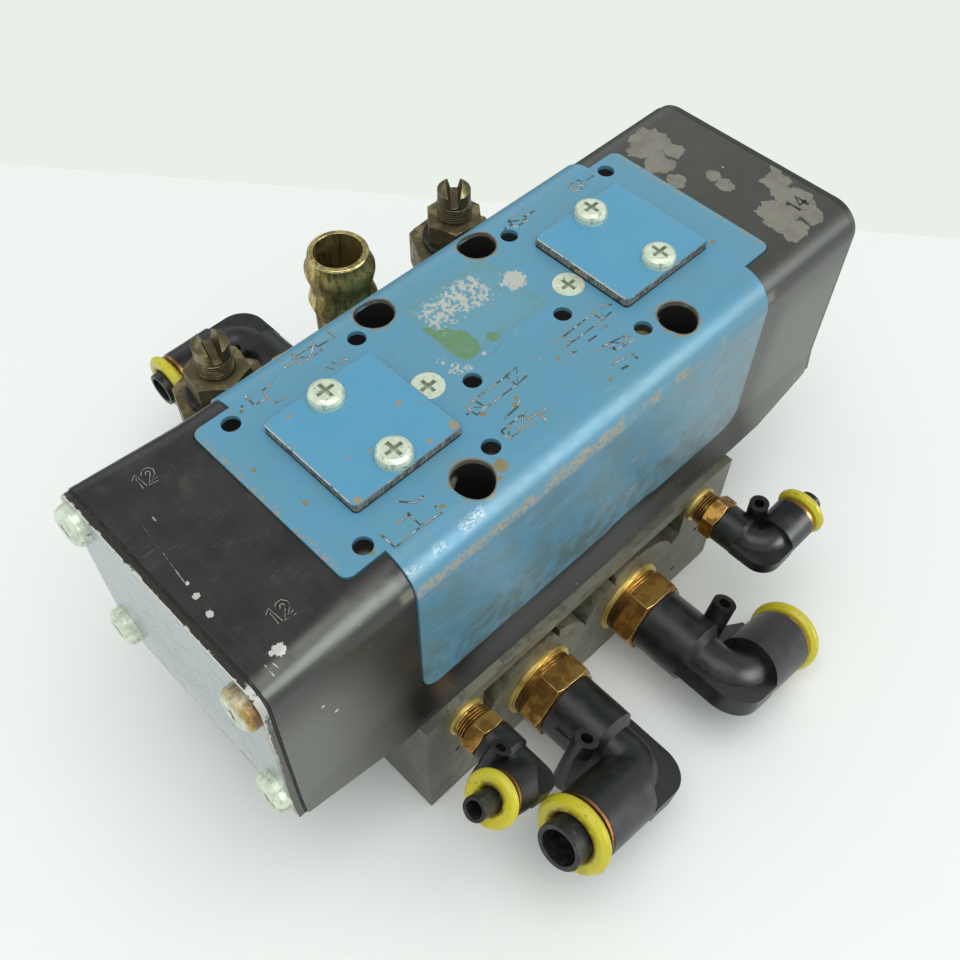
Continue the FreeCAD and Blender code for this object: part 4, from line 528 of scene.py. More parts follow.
tint = blue.slab(LABEL, (12.9, 10.5, 2), 0.5, 0.6, 6)
middle = blue.slab(LABEL, (11.0, 8.8, 2), 1.8, 2.2, 5)
blue.lay(tint, (0.125, 0.265, 0.270), 0.60)
blue.lay(middle, (0.118, 0.300, 0.410), 0.75)
arcs = blue.any_of(blue.streak((9.9, 18.6, COVER_TOP), (9.4, 9.4, COVER_TOP), 1.3, 1.0),
                   blue.streak((14.0, 6.6, COVER_TOP), (13.6, 0.2, COVER_TOP), 1.5, 1.0),
                   blue.streak((13.0, -0.4, COVER_TOP), (-10, -0.6, COVER_TOP), 0.7, 1.0))
blue.lay(blue.all_of(arcs, blue.cloud(2.2, 0.36, 0.50)), (0.110, 0.200, 0.135), 0.8)
green = blue.any_of(
    blue.spot((-10.4, 7.6, COVER_TOP), 3.6, 0.1, 0.8), blue.spot((-9.4, 3.4, COVER_TOP), 4.4, 0.1, 0.7),
    blue.spot((-7.4, 5.2, COVER_TOP), 2.4, 0.1, 0.8), blue.spot((-11.4, 11.6, COVER_TOP), 1.5, 0.2, 0.8),
    blue.spot((-2.0, 0.4, COVER_TOP), 1.6, 0.15, 0.7))
green = blue.all_of(green, tint)
blue.lay(green, (0.118, 0.240, 0.118))
blue.lay(blue.all_of(green, blue.cloud(1.0, 0.46, 0.62, 5)), (0.130, 0.270, 0.190), 0.6)
flaky = blue.slab((-0.6, 13.4, COVER_TOP), (9.4, 5.0, 2), 2.2, 2.6, 5)
crumbs = blue.sums("ADD", blue.noise(1.0, 6), blue.sums("MULTIPLY", flaky, 0.20))
crumbs = blue.all_of(flaky, blue.step(crumbs, 0.675, 0.705))
blob = blue.all_of(blue.spot((13.9, 9.6, COVER_TOP), 3.1, 0.10, 1.0, 1.4), blue.cloud(1.0, 0.34, 0.40))
OUTER_FLAKES = (
    ((-14.4, -0.8, COVER_TOP), 1.9), ((-15.2, 2.8, COVER_TOP), 1.3), ((-12.2, -2.3, COVER_TOP), 1.2),
    ((-6.8, -1.8, COVER_TOP), 0.8), ((3.0, -1.4, COVER_TOP), 0.7))
outer = blue.spots(OUTER_FLAKES, 0.3, 0.8, 0.9)
outer = blue.all_of(outer, blue.cloud(0.8, 0.48, 0.54, 5))
blue.lay(blue.any_of(crumbs, blob, outer), (0.44, 0.46, 0.42), 0.95)
pen_mark = blue.streak((-6.3, -3.3, COVER_TOP), (-1.0, -1.9, COVER_TOP), 0.35, 0.5)
blue.lay(pen_mark, (0.10, 0.11, 0.13), 0.8)

long_fold = blue.slab((-8, -33.3, 97.0), (48, 1.8, 1.2), 0.6, 0.9, 3)
fold = blue.any_of(blue.slab((-6, -33.3, 97.2), (11, 1.8, 1.5), 0.6, 1.0, 3),
                   blue.all_of(long_fold, blue.cloud(7, 0.40, 0.52, 2)))
fold = blue.all_of(fold, blue.cloud(0.8, 0.40, 0.52, 5))
blue.lay(fold, (0.36, 0.33, 0.25), 0.95)
glint = blue.all_of(blue.slab((-46, -30.6, 102.2), (11, 1.3, 1.2), 0.8, 0.6, 3),
                    blue.cloud(0.4, 0.42, 0.56, 5, blue.stretched((0.5, 1, 1))),
                    blue.cloud(5, 0.36, 0.5, 1))
blue.lay(glint, (0.60, 0.68, 0.70), 0.75)
ring_dirt = blue.spots([((x, y, COVER_TOP), 5.9) for x, y in HOLE_CENTRES], 0.12, 0.3, 1.6)
blue.lay(blue.all_of(ring_dirt, blue.cloud(1.3, 0.50, 0.57, 5)), (0.25, 0.23, 0.16), 0.85)
rims = blue.spots([((x, y, COVER_TOP), 5.15) for x, y in HOLE_CENTRES], 0.04, 0.06, 1.0)
blue.lay(blue.all_of(rims, blue.cloud(2.4, 0.36, 0.48)), (0.17, 0.14, 0.085), 0.9)
flakes = blue.spots(BROWN_FLAKES, 0.15, 0.7, 0.8)
blue.lay(flakes, (0.22, 0.18, 0.095))
lost = blue.any_of(specks, crumbs, blob, fold, flakes)
blue.roughness(blue.sums("ADD", blue.step(fine, 0.3, 0.7, 0.28, 0.40), blue.sums("MULTIPLY", lost, 0.25)))
blue.bump(blue.sums("SUBTRACT", blue.sums("MULTIPLY", fine, 0.3), lost), 0.04)

blue_edge = Finish("blue_cover_edge", (0.11, 0.27, 0.38), roughness=0.33)
worn = blue_edge.cloud(1.2, 0.45, 0.57, 5)
blue_edge.lay(worn, (0.50, 0.50, 0.46))
blue_edge.lay(blue_edge.cloud(2.6, 0.55, 0.66), (0.17, 0.13, 0.07), 0.8)
blue_edge.metallic(blue_edge.sums("MULTIPLY", worn, 0.5))
rounded_copy("top_cover", 0.18, blue, blue_edge)


# Valve symbols are scribed through the paint beside the small holes: thin lines, grey-brown with
# bright metal in places.
def open_tree(name, *sizes):
    """A new Geometry Nodes tree that is given geometry, some sizes and a finish."""
    group = bpy.data.node_groups.new(name, "GeometryNodeTree")
    kinds = [("Geometry", "Geometry")] + [(size, "Float") for size in sizes] + [("Finish", "Material")]
    for label, kind in kinds:
        group.interface.new_socket(label, in_out="INPUT", socket_type="NodeSocket" + kind)
    group.interface.new_socket("Geometry", in_out="OUTPUT", socket_type="NodeSocketGeometry")
    tree = Tree(group)
    return tree, tree.node("NodeGroupInput").outputs


def close_tree(tree, curve, profile, finish, caps=False):
    """Sweeps a profile along a curve, makes it real and gives it its finish."""
    sweep = tree.node("GeometryNodeCurveToMesh", {
        "Curve": curve.outputs["Curve"], "Profile Curve": profile.outputs["Curve"], "Fill Caps": caps})
    real = tree.node("GeometryNodeRealizeInstances", {"Geometry": sweep.outputs["Mesh"]})
    dressed = tree.node("GeometryNodeSetMaterial", {
        "Geometry": real.outputs["Geometry"], "Material": finish})
    tree.node("NodeGroupOutput", {"Geometry": dressed.outputs["Geometry"]})
    return tree.tree


def scribed_lines():
    """Geometry Nodes that turn drawn lines into flat strips of a given width."""
    tree, given = open_tree("scribed_line", "Width")
    upright = tree.node("GeometryNodeSetCurveNormal", {"Curve": given["Geometry"]}, mode="Z_UP")
    half = tree.sums("MULTIPLY", given["Width"], 0.5)
    side = tree.node("ShaderNodeCombineXYZ", {"X": half}).outputs["Vector"]
    other = tree.node("ShaderNodeVectorMath", {0: side, "Scale": -1.0}, operation="SCALE")
    strip = tree.node("GeometryNodeCurvePrimitiveLine", {"Start": other.outputs["Vector"], "End": side})
    return close_tree(tree, upright, strip, given["Finish"])


def set_input(modifier, name, value):
    for item in modifier.node_group.interface.items_tree:
        if item.item_type == "SOCKET" and item.in_out == "INPUT" and item.name == name:
            modifier[item.identifier] = value


def grown(source, tree, inputs):
    """Runs a Geometry Nodes tree on an object and leaves its result as a plain mesh."""
    modifier = source.modifiers.new("grown", "NODES")
    modifier.node_group = tree
    for name, value in inputs.items():
        set_input(modifier, name, value)
    bpy.context.view_layer.update()
    depsgraph = bpy.context.evaluated_depsgraph_get()
    made = bpy.data.meshes.new_from_object(source.evaluated_get(depsgraph), depsgraph=depsgraph)
    source.modifiers.remove(modifier)
    name = source.name
    bpy.data.objects.remove(source)
    return placed_object(name, made)


def drawn_lines(name, lines, height):
    """A curve object of straight-sided lines, each a row of x, y points in millimetres."""
    curve = bpy.data.curves.new(name, "CURVE")
    curve.dimensions = "3D"
    for line in lines:
        spline = curve.splines.new("POLY")
        spline.points.add(len(line) - 1)
        for point, (x, y) in zip(spline.points, line):
            point.co = (x * MM, y * MM, height * MM, 1)
    return placed_object(name, curve)


line_tree = scribed_lines()
LIP_LIFT = 0.012
CORE_LIFT = 0.024


def scribe(name, lines, height, width, finish):
    inputs = {"Width": width * MM, "Finish": finish.material}
    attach(grown(drawn_lines(name, lines, height), line_tree, inputs), "valve")


COVER_LINES = [
    [(9.3, -10.3), (9.8, -12.8), (19.1, -12.9), (19.0, -10.1), (9.3, -10.3)],
    [(19.1, -10.1), (22.2, -9.9), (19.2, -12.9), (22.4, -12.6)],
    [(9.3, -10.3), (6.7, -10.4), (9.7, -12.8), (6.9, -12.9)],
    [(22.3, -9.7), (24.2, -11.3)],
    [(12.0, -15.0), (14.6, -15.2)], [(16.4, -14.6), (18.9, -14.8)], [(6.4, -14.4), (8.0, -15.4)],
    [(-17.7, -9.6), (-17.2, -12.9), (-8.3, -12.9), (-8.1, -9.7), (-17.7, -9.6)],
    [(-8.2, -9.6), (-4.6, -9.4), (-8.0, -12.9), (-4.8, -12.6)],
    [(-17.6, -9.6), (-20.2, -9.8), (-17.3, -12.8), (-20.1, -12.9), (-20.2, -9.8)],
    [(-21.6, -11.4), (-20.2, -11.4)],
    [(-19.5, -19.5), (-19.8, -21.9), (-13.4, -22.6), (-13.0, -19.3), (-19.5, -19.5)],
    [(-19.4, -21.8), (-17.6, -19.6), (-15.9, -22.2), (-13.2, -19.5)],
    [(-13.2, -21.0), (-10.6, -21.6), (-8.4, -21.7)], [(-10.6, -21.6), (-10.7, -24.0)],
    [(-16.6, -17.6), (-12.6, -17.3), (-10.9, -16.4)],
    [(13.9, -18.4), (14.5, -21.0), (19.7, -21.9), (19.5, -19.6), (13.9, -18.4)],
    [(14.3, -20.8), (15.6, -19.0), (17.4, -21.3), (19.4, -19.7)],
    [(10.4, -18.2), (13.9, -18.4)], [(10.7, -23.4), (16.1, -24.0), (16.0, -25.9)],
    [(11.2, -25.4), (13.0, -25.8)],
    [(-44.9, 23.6), (-48.0, 23.2), (-48.5, 18.8), (-44.9, 18.2)],
    [(-48.3, 21.0), (-51.6, 21.2), (-51.4, 24.6)],
    [(-53.4, 23.0), (-55.0, 21.4)],
    [(-35.2, 17.4), (-34.2, 19.3), (-33.2, 17.3), (-32.2, 19.2), (-31.2, 17.2), (-30.2, 19.1), (-29.4, 17.4)],
    [(-37.6, 23.6), (-37.4, 26.2), (-31.6, 26.1), (-31.5, 23.4), (-37.6, 23.6)],
    [(-37.4, 26.1), (-34.6, 23.6), (-31.7, 26.0)],
    [(-40.6, 25.0), (-37.6, 25.0)], [(-31.5, 24.8), (-27.0, 24.6), (-26.8, 27.2)],
    [(-54.0, -20.9), (-54.0, -25.3), (-47.1, -25.2), (-46.9, -21.0)], [(-47.0, -21.6), (-50.4, -21.4)],
    [(-46.6, -17.6), (-44.2, -20.4), (-41.9, -20.2)], [(-46.8, -25.2), (-42.2, -25.6), (-42.0, -23.6)],
    [(27.0, 21.8), (27.2, 24.6), (31.2, 24.5), (31.1, 21.6), (27.0, 21.8)], [(27.1, 24.4), (31.0, 21.8)],
    [(31.2, 23.0), (34.6, 22.8)], [(24.4, 23.2), (27.0, 23.1)],
    [(46.6, 20.6), (46.9, 23.4), (50.6, 23.2), (50.4, 20.4), (46.6, 20.6)], [(46.8, 23.2), (50.5, 20.6)],
    [(50.5, 21.8), (54.2, 21.6), (54.3, 24.0)],
]
scribed_lip = Finish("scribed_lip", (0.055, 0.095, 0.100), roughness=0.5)
scribed_lip.lay(scribed_lip.cloud(3.0, 0.50, 0.58), (0.13, 0.11, 0.065))
scribed_metal = Finish("scribed_metal", (0.055, 0.060, 0.050), roughness=0.42)
scribed_metal.lay(scribed_metal.cloud(3.0, 0.44, 0.52), (0.36, 0.37, 0.33))
scribed_metal.lay(scribed_metal.cloud(2.0, 0.56, 0.62), (0.66, 0.69, 0.65))
scribe("cover_symbol_lips", COVER_LINES, COVER_TOP + LIP_LIFT, 0.52, scribed_lip)
scribe("cover_symbols", COVER_LINES, COVER_TOP + CORE_LIFT, 0.24, scribed_metal)


# Port numbers are cut into both ends of the body, black inside with bright rims.
LETTER_PITCH = 0.72


def numeral_lines(text, centre, height):
    """The strokes of small numerals that read along X, about a centre."""
    strokes = {
        "1": [[(-0.12, 0.80), (0.08, 1.0), (0.08, 0.0)]],
        "2": [[(-0.25, 0.75), (-0.1, 0.97), (0.15, 0.97), (0.28, 0.75), (0.2, 0.5), (-0.28, 0.0),
               (0.3, 0.0)]],
        "4": [[(0.15, 0.0), (0.15, 1.0), (-0.3, 0.33), (0.35, 0.33)]],
    }
    lines = []
    for place, letter in enumerate(text):
        shift = (place - (len(text) - 1) / 2) * LETTER_PITCH
        for stroke in strokes[letter]:
            lines.append([(centre[0] + (x + shift) * height, centre[1] + (y - 0.5) * height)
                          for x, y in stroke])
    return lines


END_NUMBERS = (numeral_lines("12", (-78.8, 21.7), 3.5) + numeral_lines("12", (-78.5, -20.8), 3.5)
               + numeral_lines("14", (82.9, -19.7), 4.0))
numeral_rim = Finish("numeral_rim", (0.05, 0.05, 0.045), roughness=0.35)
rubbed = numeral_rim.all_of(numeral_rim.cloud(1.6, 0.40, 0.50), numeral_rim.beyond("X", 0, -10))
numeral_rim.lay(rubbed, (0.30, 0.30, 0.275))
numeral_groove = Finish("numeral_groove", (0.012, 0.012, 0.011), roughness=0.4)
scribe("end_number_rims", END_NUMBERS, BODY_TOP + LIP_LIFT, 1.05, numeral_rim)
scribe("end_numbers", END_NUMBERS, BODY_TOP + CORE_LIFT, 0.72, numeral_groove)


# The screws are zinc plated, greenish with age, with painted shade in the cross: two flush ones
# hold the cover, four hold the blanking plates, and four hold each end plate. One has rusted.
def node_centres(name):
    """The middles of the separate pieces of a CAD node, in millimetres."""
    shell = bmesh.new()
    shell.from_mesh(nodes[name].data)
    bmesh.ops.remove_doubles(shell, verts=shell.verts, dist=2e-6)
    left = set(shell.verts)
    centres = []
    while left:
        island = [left.pop()]
        for vertex in island:
            for edge in vertex.link_edges:
                other = edge.other_vert(vertex)
                if other in left:
                    left.remove(other)
                    island.append(other)
        low = Vector(min(v.co[axis] for v in island) for axis in range(3))
        high = Vector(max(v.co[axis] for v in island) for axis in range(3))
        centres.append((low / MM, high / MM))
    shell.free()
    return centres


RECESS_REACH = 3.0
RECESS_DEPTH = 1.7
RECESS_SET = 0.35
zinc = Finish("aged_zinc", (0.74, 0.82, 0.68), roughness=0.34, metallic=0.40)
patina = zinc.noise(1.6, 5)
zinc.lay(zinc.step(patina, 0.4, 0.65), (0.62, 0.69, 0.55))
zinc.lay(zinc.cloud(0.7, 0.60, 0.70), (0.24, 0.25, 0.18))
# Painted shade darkens the cross recess of each screw head.
cross_shades = []
for name in ("cover_screws", "pilot_plate_screws"):
    for low, high in node_centres(name):
        middle = (low + high) / 2
        cross_shades.append(zinc.slab((middle.x, middle.y, high.z - RECESS_SET - RECESS_DEPTH / 2),
                                 (RECESS_REACH, RECESS_REACH, RECESS_DEPTH / 2), 0.12))
for low, high in node_centres("near_end_screws"):
    middle = (low + high) / 2
    cross_shades.append(zinc.slab((low.x + RECESS_SET + RECESS_DEPTH / 2, middle.y, middle.z),
                             (RECESS_DEPTH / 2, RECESS_REACH, RECESS_REACH), 0.12))
zinc.lay(zinc.any_of(*cross_shades), (0.44, 0.49, 0.39), 0.9)
rusty = zinc.all_of(zinc.spot((-93.2, -28.4, 95.4), 7.5, 0.4, 0.3, 3), zinc.beyond("X", -95.9, -94.8))
zinc.lay(rusty, (0.42, 0.27, 0.055))
zinc.lay(zinc.all_of(rusty, zinc.beyond("X", -94.6, -93.6)), (0.10, 0.045, 0.015), 0.95)
zinc.lay(zinc.all_of(rusty, zinc.cloud(1.0, 0.54, 0.62)), (0.22, 0.11, 0.025), 0.7)
stained = zinc.all_of(zinc.spot((-93.4, -30.0, 52.5), 4.6, 0.6, 0.4, 2), zinc.cloud(1.4, 0.40, 0.60))
zinc.lay(stained, (0.26, 0.155, 0.045), 0.8)
zinc.roughness(zinc.step(patina, 0.3, 0.7, 0.26, 0.50))
zinc.bump(patina, 0.03)
dress(zinc, "cover_screws", "pilot_plate_screws", "near_end_screws", "far_end_screws")


# The two blanking plates close the places where pilot heads would sit. They were painted with
# the cover; their cut edges are bare and dark, with a bright line along the upper arris.
PLATE_X = 40.0
plate_paint = Finish("blanking_plate_paint", (0.086, 0.298, 0.482), roughness=0.33)
plate_paint.lay(plate_paint.cloud(15, 0.35, 0.7), (0.096, 0.312, 0.468))
plate_paint.lay(plate_paint.cloud(1.3, 0.70, 0.72, 4), (0.24, 0.22, 0.15), 0.85)
PLATE_SCUFFS = (((-31.0, -1.0, 106.2), 0.8), ((-49.4, 12.0, 106.2), 0.6), ((-33.0, -12.6, 106.2), 0.7),
                ((-52.9, -13.4, 106.2), 1.0), ((-26.6, -13.0, 106.2), 1.3), ((-43.4, -6.0, 106.2), 0.45))
scuffs = plate_paint.spots(PLATE_SCUFFS, 0.2, 0.7, 0.7)
plate_paint.lay(scuffs, (0.30, 0.26, 0.17))
from_middle = plate_paint.sums("ABSOLUTE", plate_paint.sums("SUBTRACT", plate_paint.sums(
    "ABSOLUTE", plate_paint.axis("X")), PLATE_X * MM))
from_middle = plate_paint.sums("MAXIMUM", from_middle, plate_paint.sums("ABSOLUTE", plate_paint.axis("Y")))
rim = plate_paint.all_of(plate_paint.step(from_middle, 13.0 * MM, 14.2 * MM),
                         plate_paint.cloud(0.9, 0.52, 0.60))
plate_paint.lay(rim, (0.22, 0.23, 0.20), 0.5)
plate_paint.roughness(plate_paint.step(plate_paint.noise(2), 0.3, 0.7, 0.28, 0.38))
plate_paint.bump(plate_paint.noise(1.5, 3), 0.015)

cut_edge = Finish("cut_plate_edge", (0.105, 0.105, 0.090), roughness=0.5)
streaks = cut_edge.noise(0.35, 3, cut_edge.stretched((1, 1, 0.12)))
cut_edge.lay(cut_edge.step(streaks, 0.42, 0.60), (0.27, 0.28, 0.25))
cut_edge.lay(cut_edge.cloud(2, 0.50, 0.64), (0.06, 0.05, 0.035))
cut_edge.bump(streaks, 0.03)
bright_rim = Finish("plate_rim", (0.075, 0.150, 0.200), roughness=0.34)
bright_rim.lay(bright_rim.cloud(1.6, 0.55, 0.62), (0.30, 0.30, 0.26))
near_sides = bright_rim.any_of(bright_rim.slab((-54.3, 0, 106), (0.8, 13.6, 1.5), 0.2),
                               bright_rim.slab((25.7, 0, 106), (0.8, 13.6, 1.5), 0.2))
bright_rim.lay(bright_rim.all_of(near_sides, bright_rim.cloud(1.4, 0.34, 0.48)), (0.50, 0.54, 0.52))
for side in ("near", "far"):
    plate = rounded_copy(side + "_pilot_plate", 0.22, plate_paint, bright_rim)
    plate.data.materials.append(cut_edge.material)
    for face in plate.data.polygons:
        if abs(face.normal.z) < 0.5:
            face.material_index = 2


# The end plates close the piston chambers: bare sheet on a thin gasket, painted black over its
# edges with the body, and chipped along its upper arris and front corner. The lower part of the
# sheet is lighter as a painted reflection of the floor, and the front of its black edge is painted
# lighter as light.
plated = Finish("bare_end_plate", (0.40, 0.455, 0.475), roughness=0.32, metallic=0.8)
haze = plated.noise(11, 5)
plated.lay(plated.step(haze, 0.35, 0.68), (0.50, 0.55, 0.555))
# Painted reflection of the floor: the lower part of the sheet is lighter.
plated.lay(plated.beyond("Z", 66, 48), (0.58, 0.61, 0.60), 0.7)
ticks = plated.noise(0.8, 3, plated.stretched((1, 0.14, 1), (0.12, 0, 0)))
ticks = plated.all_of(plated.step(ticks, 0.58, 0.64), plated.cloud(8, 0.40, 0.54, 3))
plated.lay(ticks, (0.10, 0.13, 0.18), 0.75)
plated.lay(plated.cloud(2.5, 0.66, 0.70, 5), (0.34, 0.30, 0.22), 0.6)
brown_rim = plated.any_of(plated.beyond("Y", -30.8, -32.2), plated.beyond("Z", 48.4, 47.2))
plated.lay(plated.all_of(brown_rim, plated.cloud(2.5, 0.36, 0.5)), (0.20, 0.135, 0.07), 0.9)
plated.roughness(plated.step(haze, 0.3, 0.7, 0.24, 0.40))
plated.bump(plated.noise(0.7, 3), 0.012)

plate_side = Finish("painted_plate_side", (0.020, 0.020, 0.018), roughness=0.36)
# Painted light: the front of the black edge is lighter.
plate_side.lay(plate_side.beyond("Y", -30, -32), (0.070, 0.070, 0.060), 0.8)
near_end = plate_side.beyond("X", 0, -20)
scraped = plate_side.all_of(plate_side.beyond("Y", -27, -29), plate_side.beyond("Z", 90, 98),
                            near_end, plate_side.cloud(2.2, 0.44, 0.50, 4))
plate_side.lay(scraped, (0.52, 0.51, 0.47))
ragged = plate_side.all_of(plate_side.beyond("X", -92.0, -92.3),
                           plate_side.cloud(2.6, 0.50, 0.56, 5), plate_side.beyond("Z", 60, 90))
plate_side.lay(ragged, (0.50, 0.48, 0.42))
plate_arris = Finish("chipped_plate_arris", (0.025, 0.025, 0.022), roughness=0.38)
chips = plate_arris.all_of(plate_arris.cloud(1.3, 0.34, 0.42, 5), plate_arris.beyond("X", -91.6, -92.0),
                           plate_arris.beyond("Z", 60, 90))
plate_arris.lay(chips, (0.62, 0.60, 0.53))
for side in ("near", "far"):
    plate = rounded_copy(side + "_end_plate", 0.2, plated, plate_arris)
    plate.data.materials.append(plate_side.material)
    for face in plate.data.polygons:
        if abs(face.normal.x) < 0.5:
            face.material_index = 2


# The brass fittings: studs of the elbows, the hose barb and the two exhaust regulators. Years
# of oil have turned them olive and brown, with bright metal left on corners.
FRONT_FACE_Y = -38.4


def aged_brass(name, bright, dull, share, roughness=0.38):
    finish = Finish(name, dull, roughness=roughness, metallic=0.9)
    film = finish.cloud(3.2, share - 0.08, share + 0.08, 6)
    fine = finish.noise(0.6)
    finish.lay(film, bright)
    finish.lay(finish.step(fine, 0.60, 0.72), tuple(c * 0.45 for c in dull))
    finish.roughness(finish.step(film, 0.0, 1.0, roughness + 0.14, roughness - 0.06))
    finish.bump(fine, 0.02)
    return finish


orange_brass = aged_brass("elbow_stud_brass", (0.46, 0.25, 0.060), (0.20, 0.105, 0.026), 0.50)
orange_edge = aged_brass("elbow_stud_corner", (0.70, 0.48, 0.20), (0.40, 0.24, 0.07), 0.42, 0.3)
olive_brass = aged_brass("regulator_brass", (0.25, 0.205, 0.105), (0.135, 0.110, 0.065), 0.55, 0.42)
olive_edge = aged_brass("regulator_corner", (0.42, 0.36, 0.20), (0.22, 0.185, 0.11), 0.46, 0.34)
barb_brass = aged_brass("barb_brass", (0.62, 0.50, 0.19), (0.38, 0.30, 0.115), 0.50, 0.38)
drips = barb_brass.noise(1.1, 3, barb_brass.stretched((1, 1, 0.08)))
barb_brass.lay(barb_brass.step(drips, 0.46, 0.60), (0.150, 0.122, 0.055), 0.8)
barb_brass.lay(barb_brass.beyond("Z", 84, 70), (0.40, 0.27, 0.075), 0.6)
barb_edge = aged_brass("barb_corner", (0.58, 0.50, 0.26), (0.30, 0.25, 0.13), 0.44, 0.32)
ELBOWS = ("near_large_elbow", "far_large_elbow", "near_small_elbow", "far_small_elbow", "rear_elbow")
for finish in (orange_brass, orange_edge):
    neck = finish.all_of(finish.beyond("Y", FRONT_FACE_Y - 4.4, FRONT_FACE_Y - 3.9),
                         finish.beyond("Z", 30, 26))
    finish.lay(neck, (0.075, 0.045, 0.018), 0.85)
    ring = finish.beyond("Y", FRONT_FACE_Y - 1.15, FRONT_FACE_Y - 0.95)
    ring = finish.all_of(ring, finish.beyond("Y", 0, -20))
    finish.lay(ring, (0.80, 0.62, 0.20))
for elbow in ELBOWS:
    rounded_copy(elbow + "_stud", 0.18, orange_brass, orange_edge, sharp=30)
rounded_copy("hose_barb", 0.15, barb_brass, barb_edge, sharp=30)
for side in ("near", "far"):
    for piece in ("body", "lock_nut", "needle"):
        rounded_copy(side + "_regulator_" + piece, 0.2, olive_brass, olive_edge, sharp=30)


# Screw threads stand on the necks of the studs and on the needles: a ridge that climbs round
# the neck, turn by turn.
def thread_ridges():
    """Geometry Nodes that wind a ridge of given size up a neck that stands on the XY plane."""
    tree, given = open_tree("thread_ridge", "Radius", "Length", "Turns", "Ridge")
    spiral = tree.node("GeometryNodeCurveSpiral", {
        "Resolution": 40, "Rotations": given["Turns"], "Start Radius": given["Radius"],
        "End Radius": given["Radius"], "Height": given["Length"]})
    ridge = tree.node("GeometryNodeCurvePrimitiveCircle", {"Resolution": 4, "Radius": given["Ridge"]})
    return close_tree(tree, spiral, ridge, given["Finish"], caps=True)


ridge_tree = thread_ridges()


def wind_thread(name, node, start, outward, radius, length, pitch, finish):
    """A thread about an axis that leaves start along outward; sizes in millimetres."""
    source = placed_object(name, bpy.data.meshes.new(name))
    piece = grown(source, ridge_tree, {
        "Radius": radius * MM, "Length": length * MM, "Turns": length / pitch,
        "Ridge": pitch * 0.45 * MM, "Finish": finish.material})
    turn = Vector(outward).to_track_quat("Z", "X").to_matrix().to_4x4()
    piece.data.transform(Matrix.Translation(Vector(start) * MM) @ turn)
    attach(piece, nodes[node]["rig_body"])


for side, x in (("near", -48.3), ("far", 39.1)):
    wind_thread(side + "_small_stud_thread", side + "_small_elbow_stud", (x, FRONT_FACE_Y - 1.2, 38.2),
                (0, -1, 0), 4.45, 2.8, 0.75, orange_brass)
for side, x in (("near", -22.25), ("far", 13.05)):
    wind_thread(side + "_large_stud_thread", side + "_large_elbow_stud", (x, FRONT_FACE_Y - 1.3, 20.3),
                (0, -1, 0), 9.5, 1.7, 0.8, orange_brass)
for side, x in (("near", -43.55), ("far", 34.35)):
    wind_thread(side + "_needle_thread", side + "_regulator_needle", (x, 51.0, 85.3),
                (0, 0, 1), 4.35, 4.6, 0.75, olive_brass)


# The elbow bodies are moulded in black glass-filled nylon, slightly glossy, with dust in the
# corners. The grip sleeve shows as a copper-brown line at the mouth.
nylon = Finish("black_nylon", (0.0075, 0.0078, 0.008), roughness=0.36)
cloud = nylon.noise(5, 5)
nylon.lay(nylon.step(cloud, 0.4, 0.7), (0.018, 0.0185, 0.018))
nylon.lay(nylon.cloud(1.1, 0.66, 0.76), (0.06, 0.058, 0.05))
nylon.lay(nylon.cloud(0.5, 0.70, 0.76, 2), (0.10, 0.098, 0.085), 0.7)
nylon.roughness(nylon.step(cloud, 0.3, 0.7, 0.30, 0.44))
nylon.bump(nylon.noise(0.5, 2), 0.02)
copper = aged_brass("grip_copper", (0.42, 0.20, 0.085), (0.22, 0.10, 0.045), 0.5, 0.36)
for elbow in ELBOWS:
    rounded_copy(elbow + "_body", 0.35, nylon, sharp=36)
    dress(copper, elbow + "_grip_sleeve")


# The release collars are yellow acetal, with orange-brown grime round the tube and in the seam,
# and painted shade, mixed with grime, on their lower half.
def middle_of(name):
    points = [v.co for v in nodes[name].data.vertices]
    low = Vector(min(p[axis] for p in points) for axis in range(3))
    high = Vector(max(p[axis] for p in points) for axis in range(3))
    return (low + high) / 2


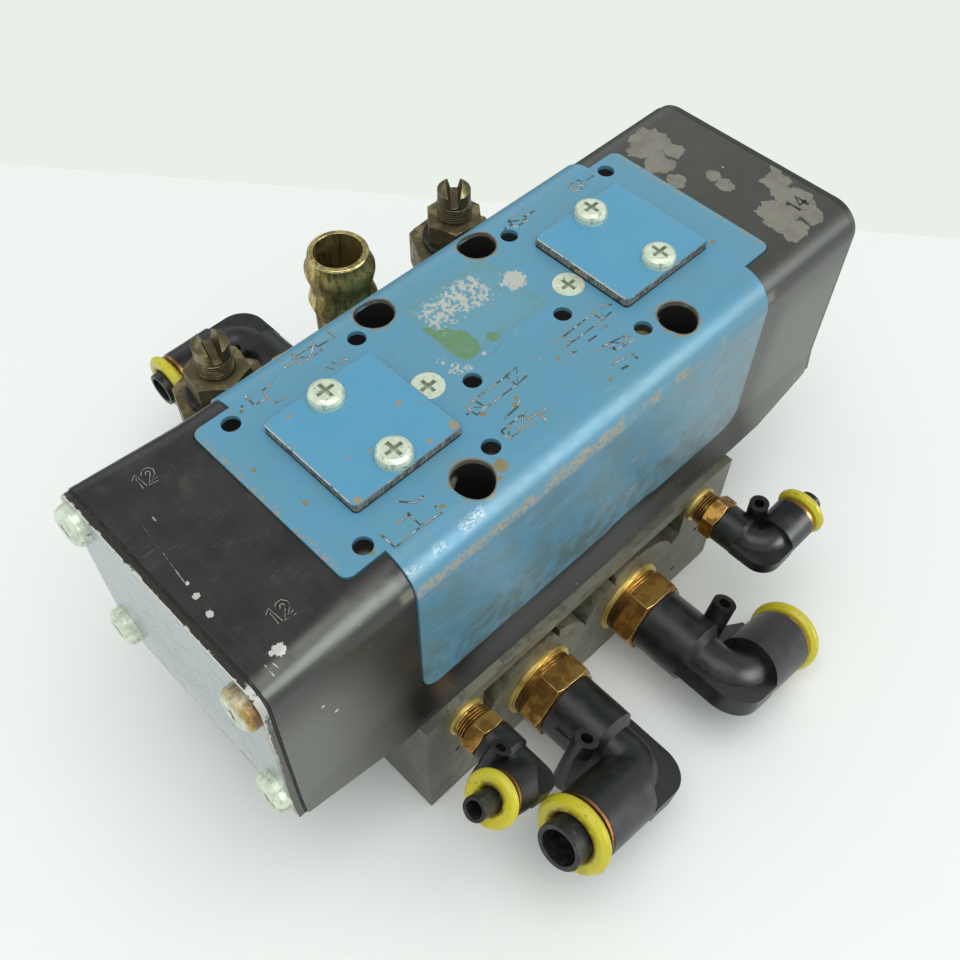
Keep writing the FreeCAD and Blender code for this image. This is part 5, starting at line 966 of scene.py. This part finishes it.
def collar_finish(elbow, tube_r):
    """Yellow acetal whose grime follows the collar's own axis."""
    finish = Finish(elbow + "_acetal", (0.60, 0.53, 0.020), roughness=0.34)
    finish.lay(finish.cloud(8, 0.35, 0.7, 3), (0.58, 0.52, 0.035))
    middle = middle_of(elbow + "_collar")
    arm = (middle - middle_of(elbow + "_grip_sleeve")).normalized()
    offset = finish.vectors("SUBTRACT", finish.place, tuple(middle))
    along = finish.vectors("DOT_PRODUCT", offset, tuple(arm), "Value")
    squared = finish.vectors("DOT_PRODUCT", offset, offset, "Value")
    radius = finish.sums("SQRT", finish.sums("SUBTRACT", squared, finish.sums("MULTIPLY", along, along)))
    inner = finish.step(radius, (tube_r + 1.7) * MM, (tube_r + 0.6) * MM)
    # Painted shade, mixed with grime, darkens the lower half.
    lower = finish.step(finish.axis("Z"), middle.z + tube_r * 0.4 * MM, middle.z - tube_r * 1.6 * MM)
    cloud = finish.cloud(3.0, 0.40, 0.62, 6)
    finish.lay(finish.all_of(lower, cloud), (0.42, 0.26, 0.018), 0.75)
    finish.lay(finish.all_of(inner, finish.cloud(2.0, 0.32, 0.5)), (0.20, 0.115, 0.018), 0.85)
    finish.lay(finish.cloud(1.2, 0.64, 0.70, 5), (0.22, 0.14, 0.02), 0.7)
    finish.roughness(finish.step(cloud, 0.0, 1.0, 0.28, 0.44))
    finish.bump(finish.noise(1.0, 3), 0.02)
    return finish


TUBE_RADII = {"near_large_elbow": 6.0, "far_large_elbow": 6.0, "near_small_elbow": 3.0,
              "far_small_elbow": 3.0, "rear_elbow": 5.0}
for elbow, tube_r in TUBE_RADII.items():
    rounded_copy(elbow + "_collar", 0.5, collar_finish(elbow, tube_r), segments=3, sharp=50)


# Ends of cut-off air line are still held in four of the elbows.
hose = Finish("black_air_line", (0.012, 0.012, 0.012), roughness=0.40, specular=0.45)
hose.lay(hose.cloud(2, 0.5, 0.7, 5), (0.05, 0.048, 0.042))
hose.bump(hose.noise(0.5, 3), 0.03)
for elbow in ELBOWS:
    if elbow != "far_large_elbow":
        rounded_copy(elbow + "_tube_stub", 0.25, hose)
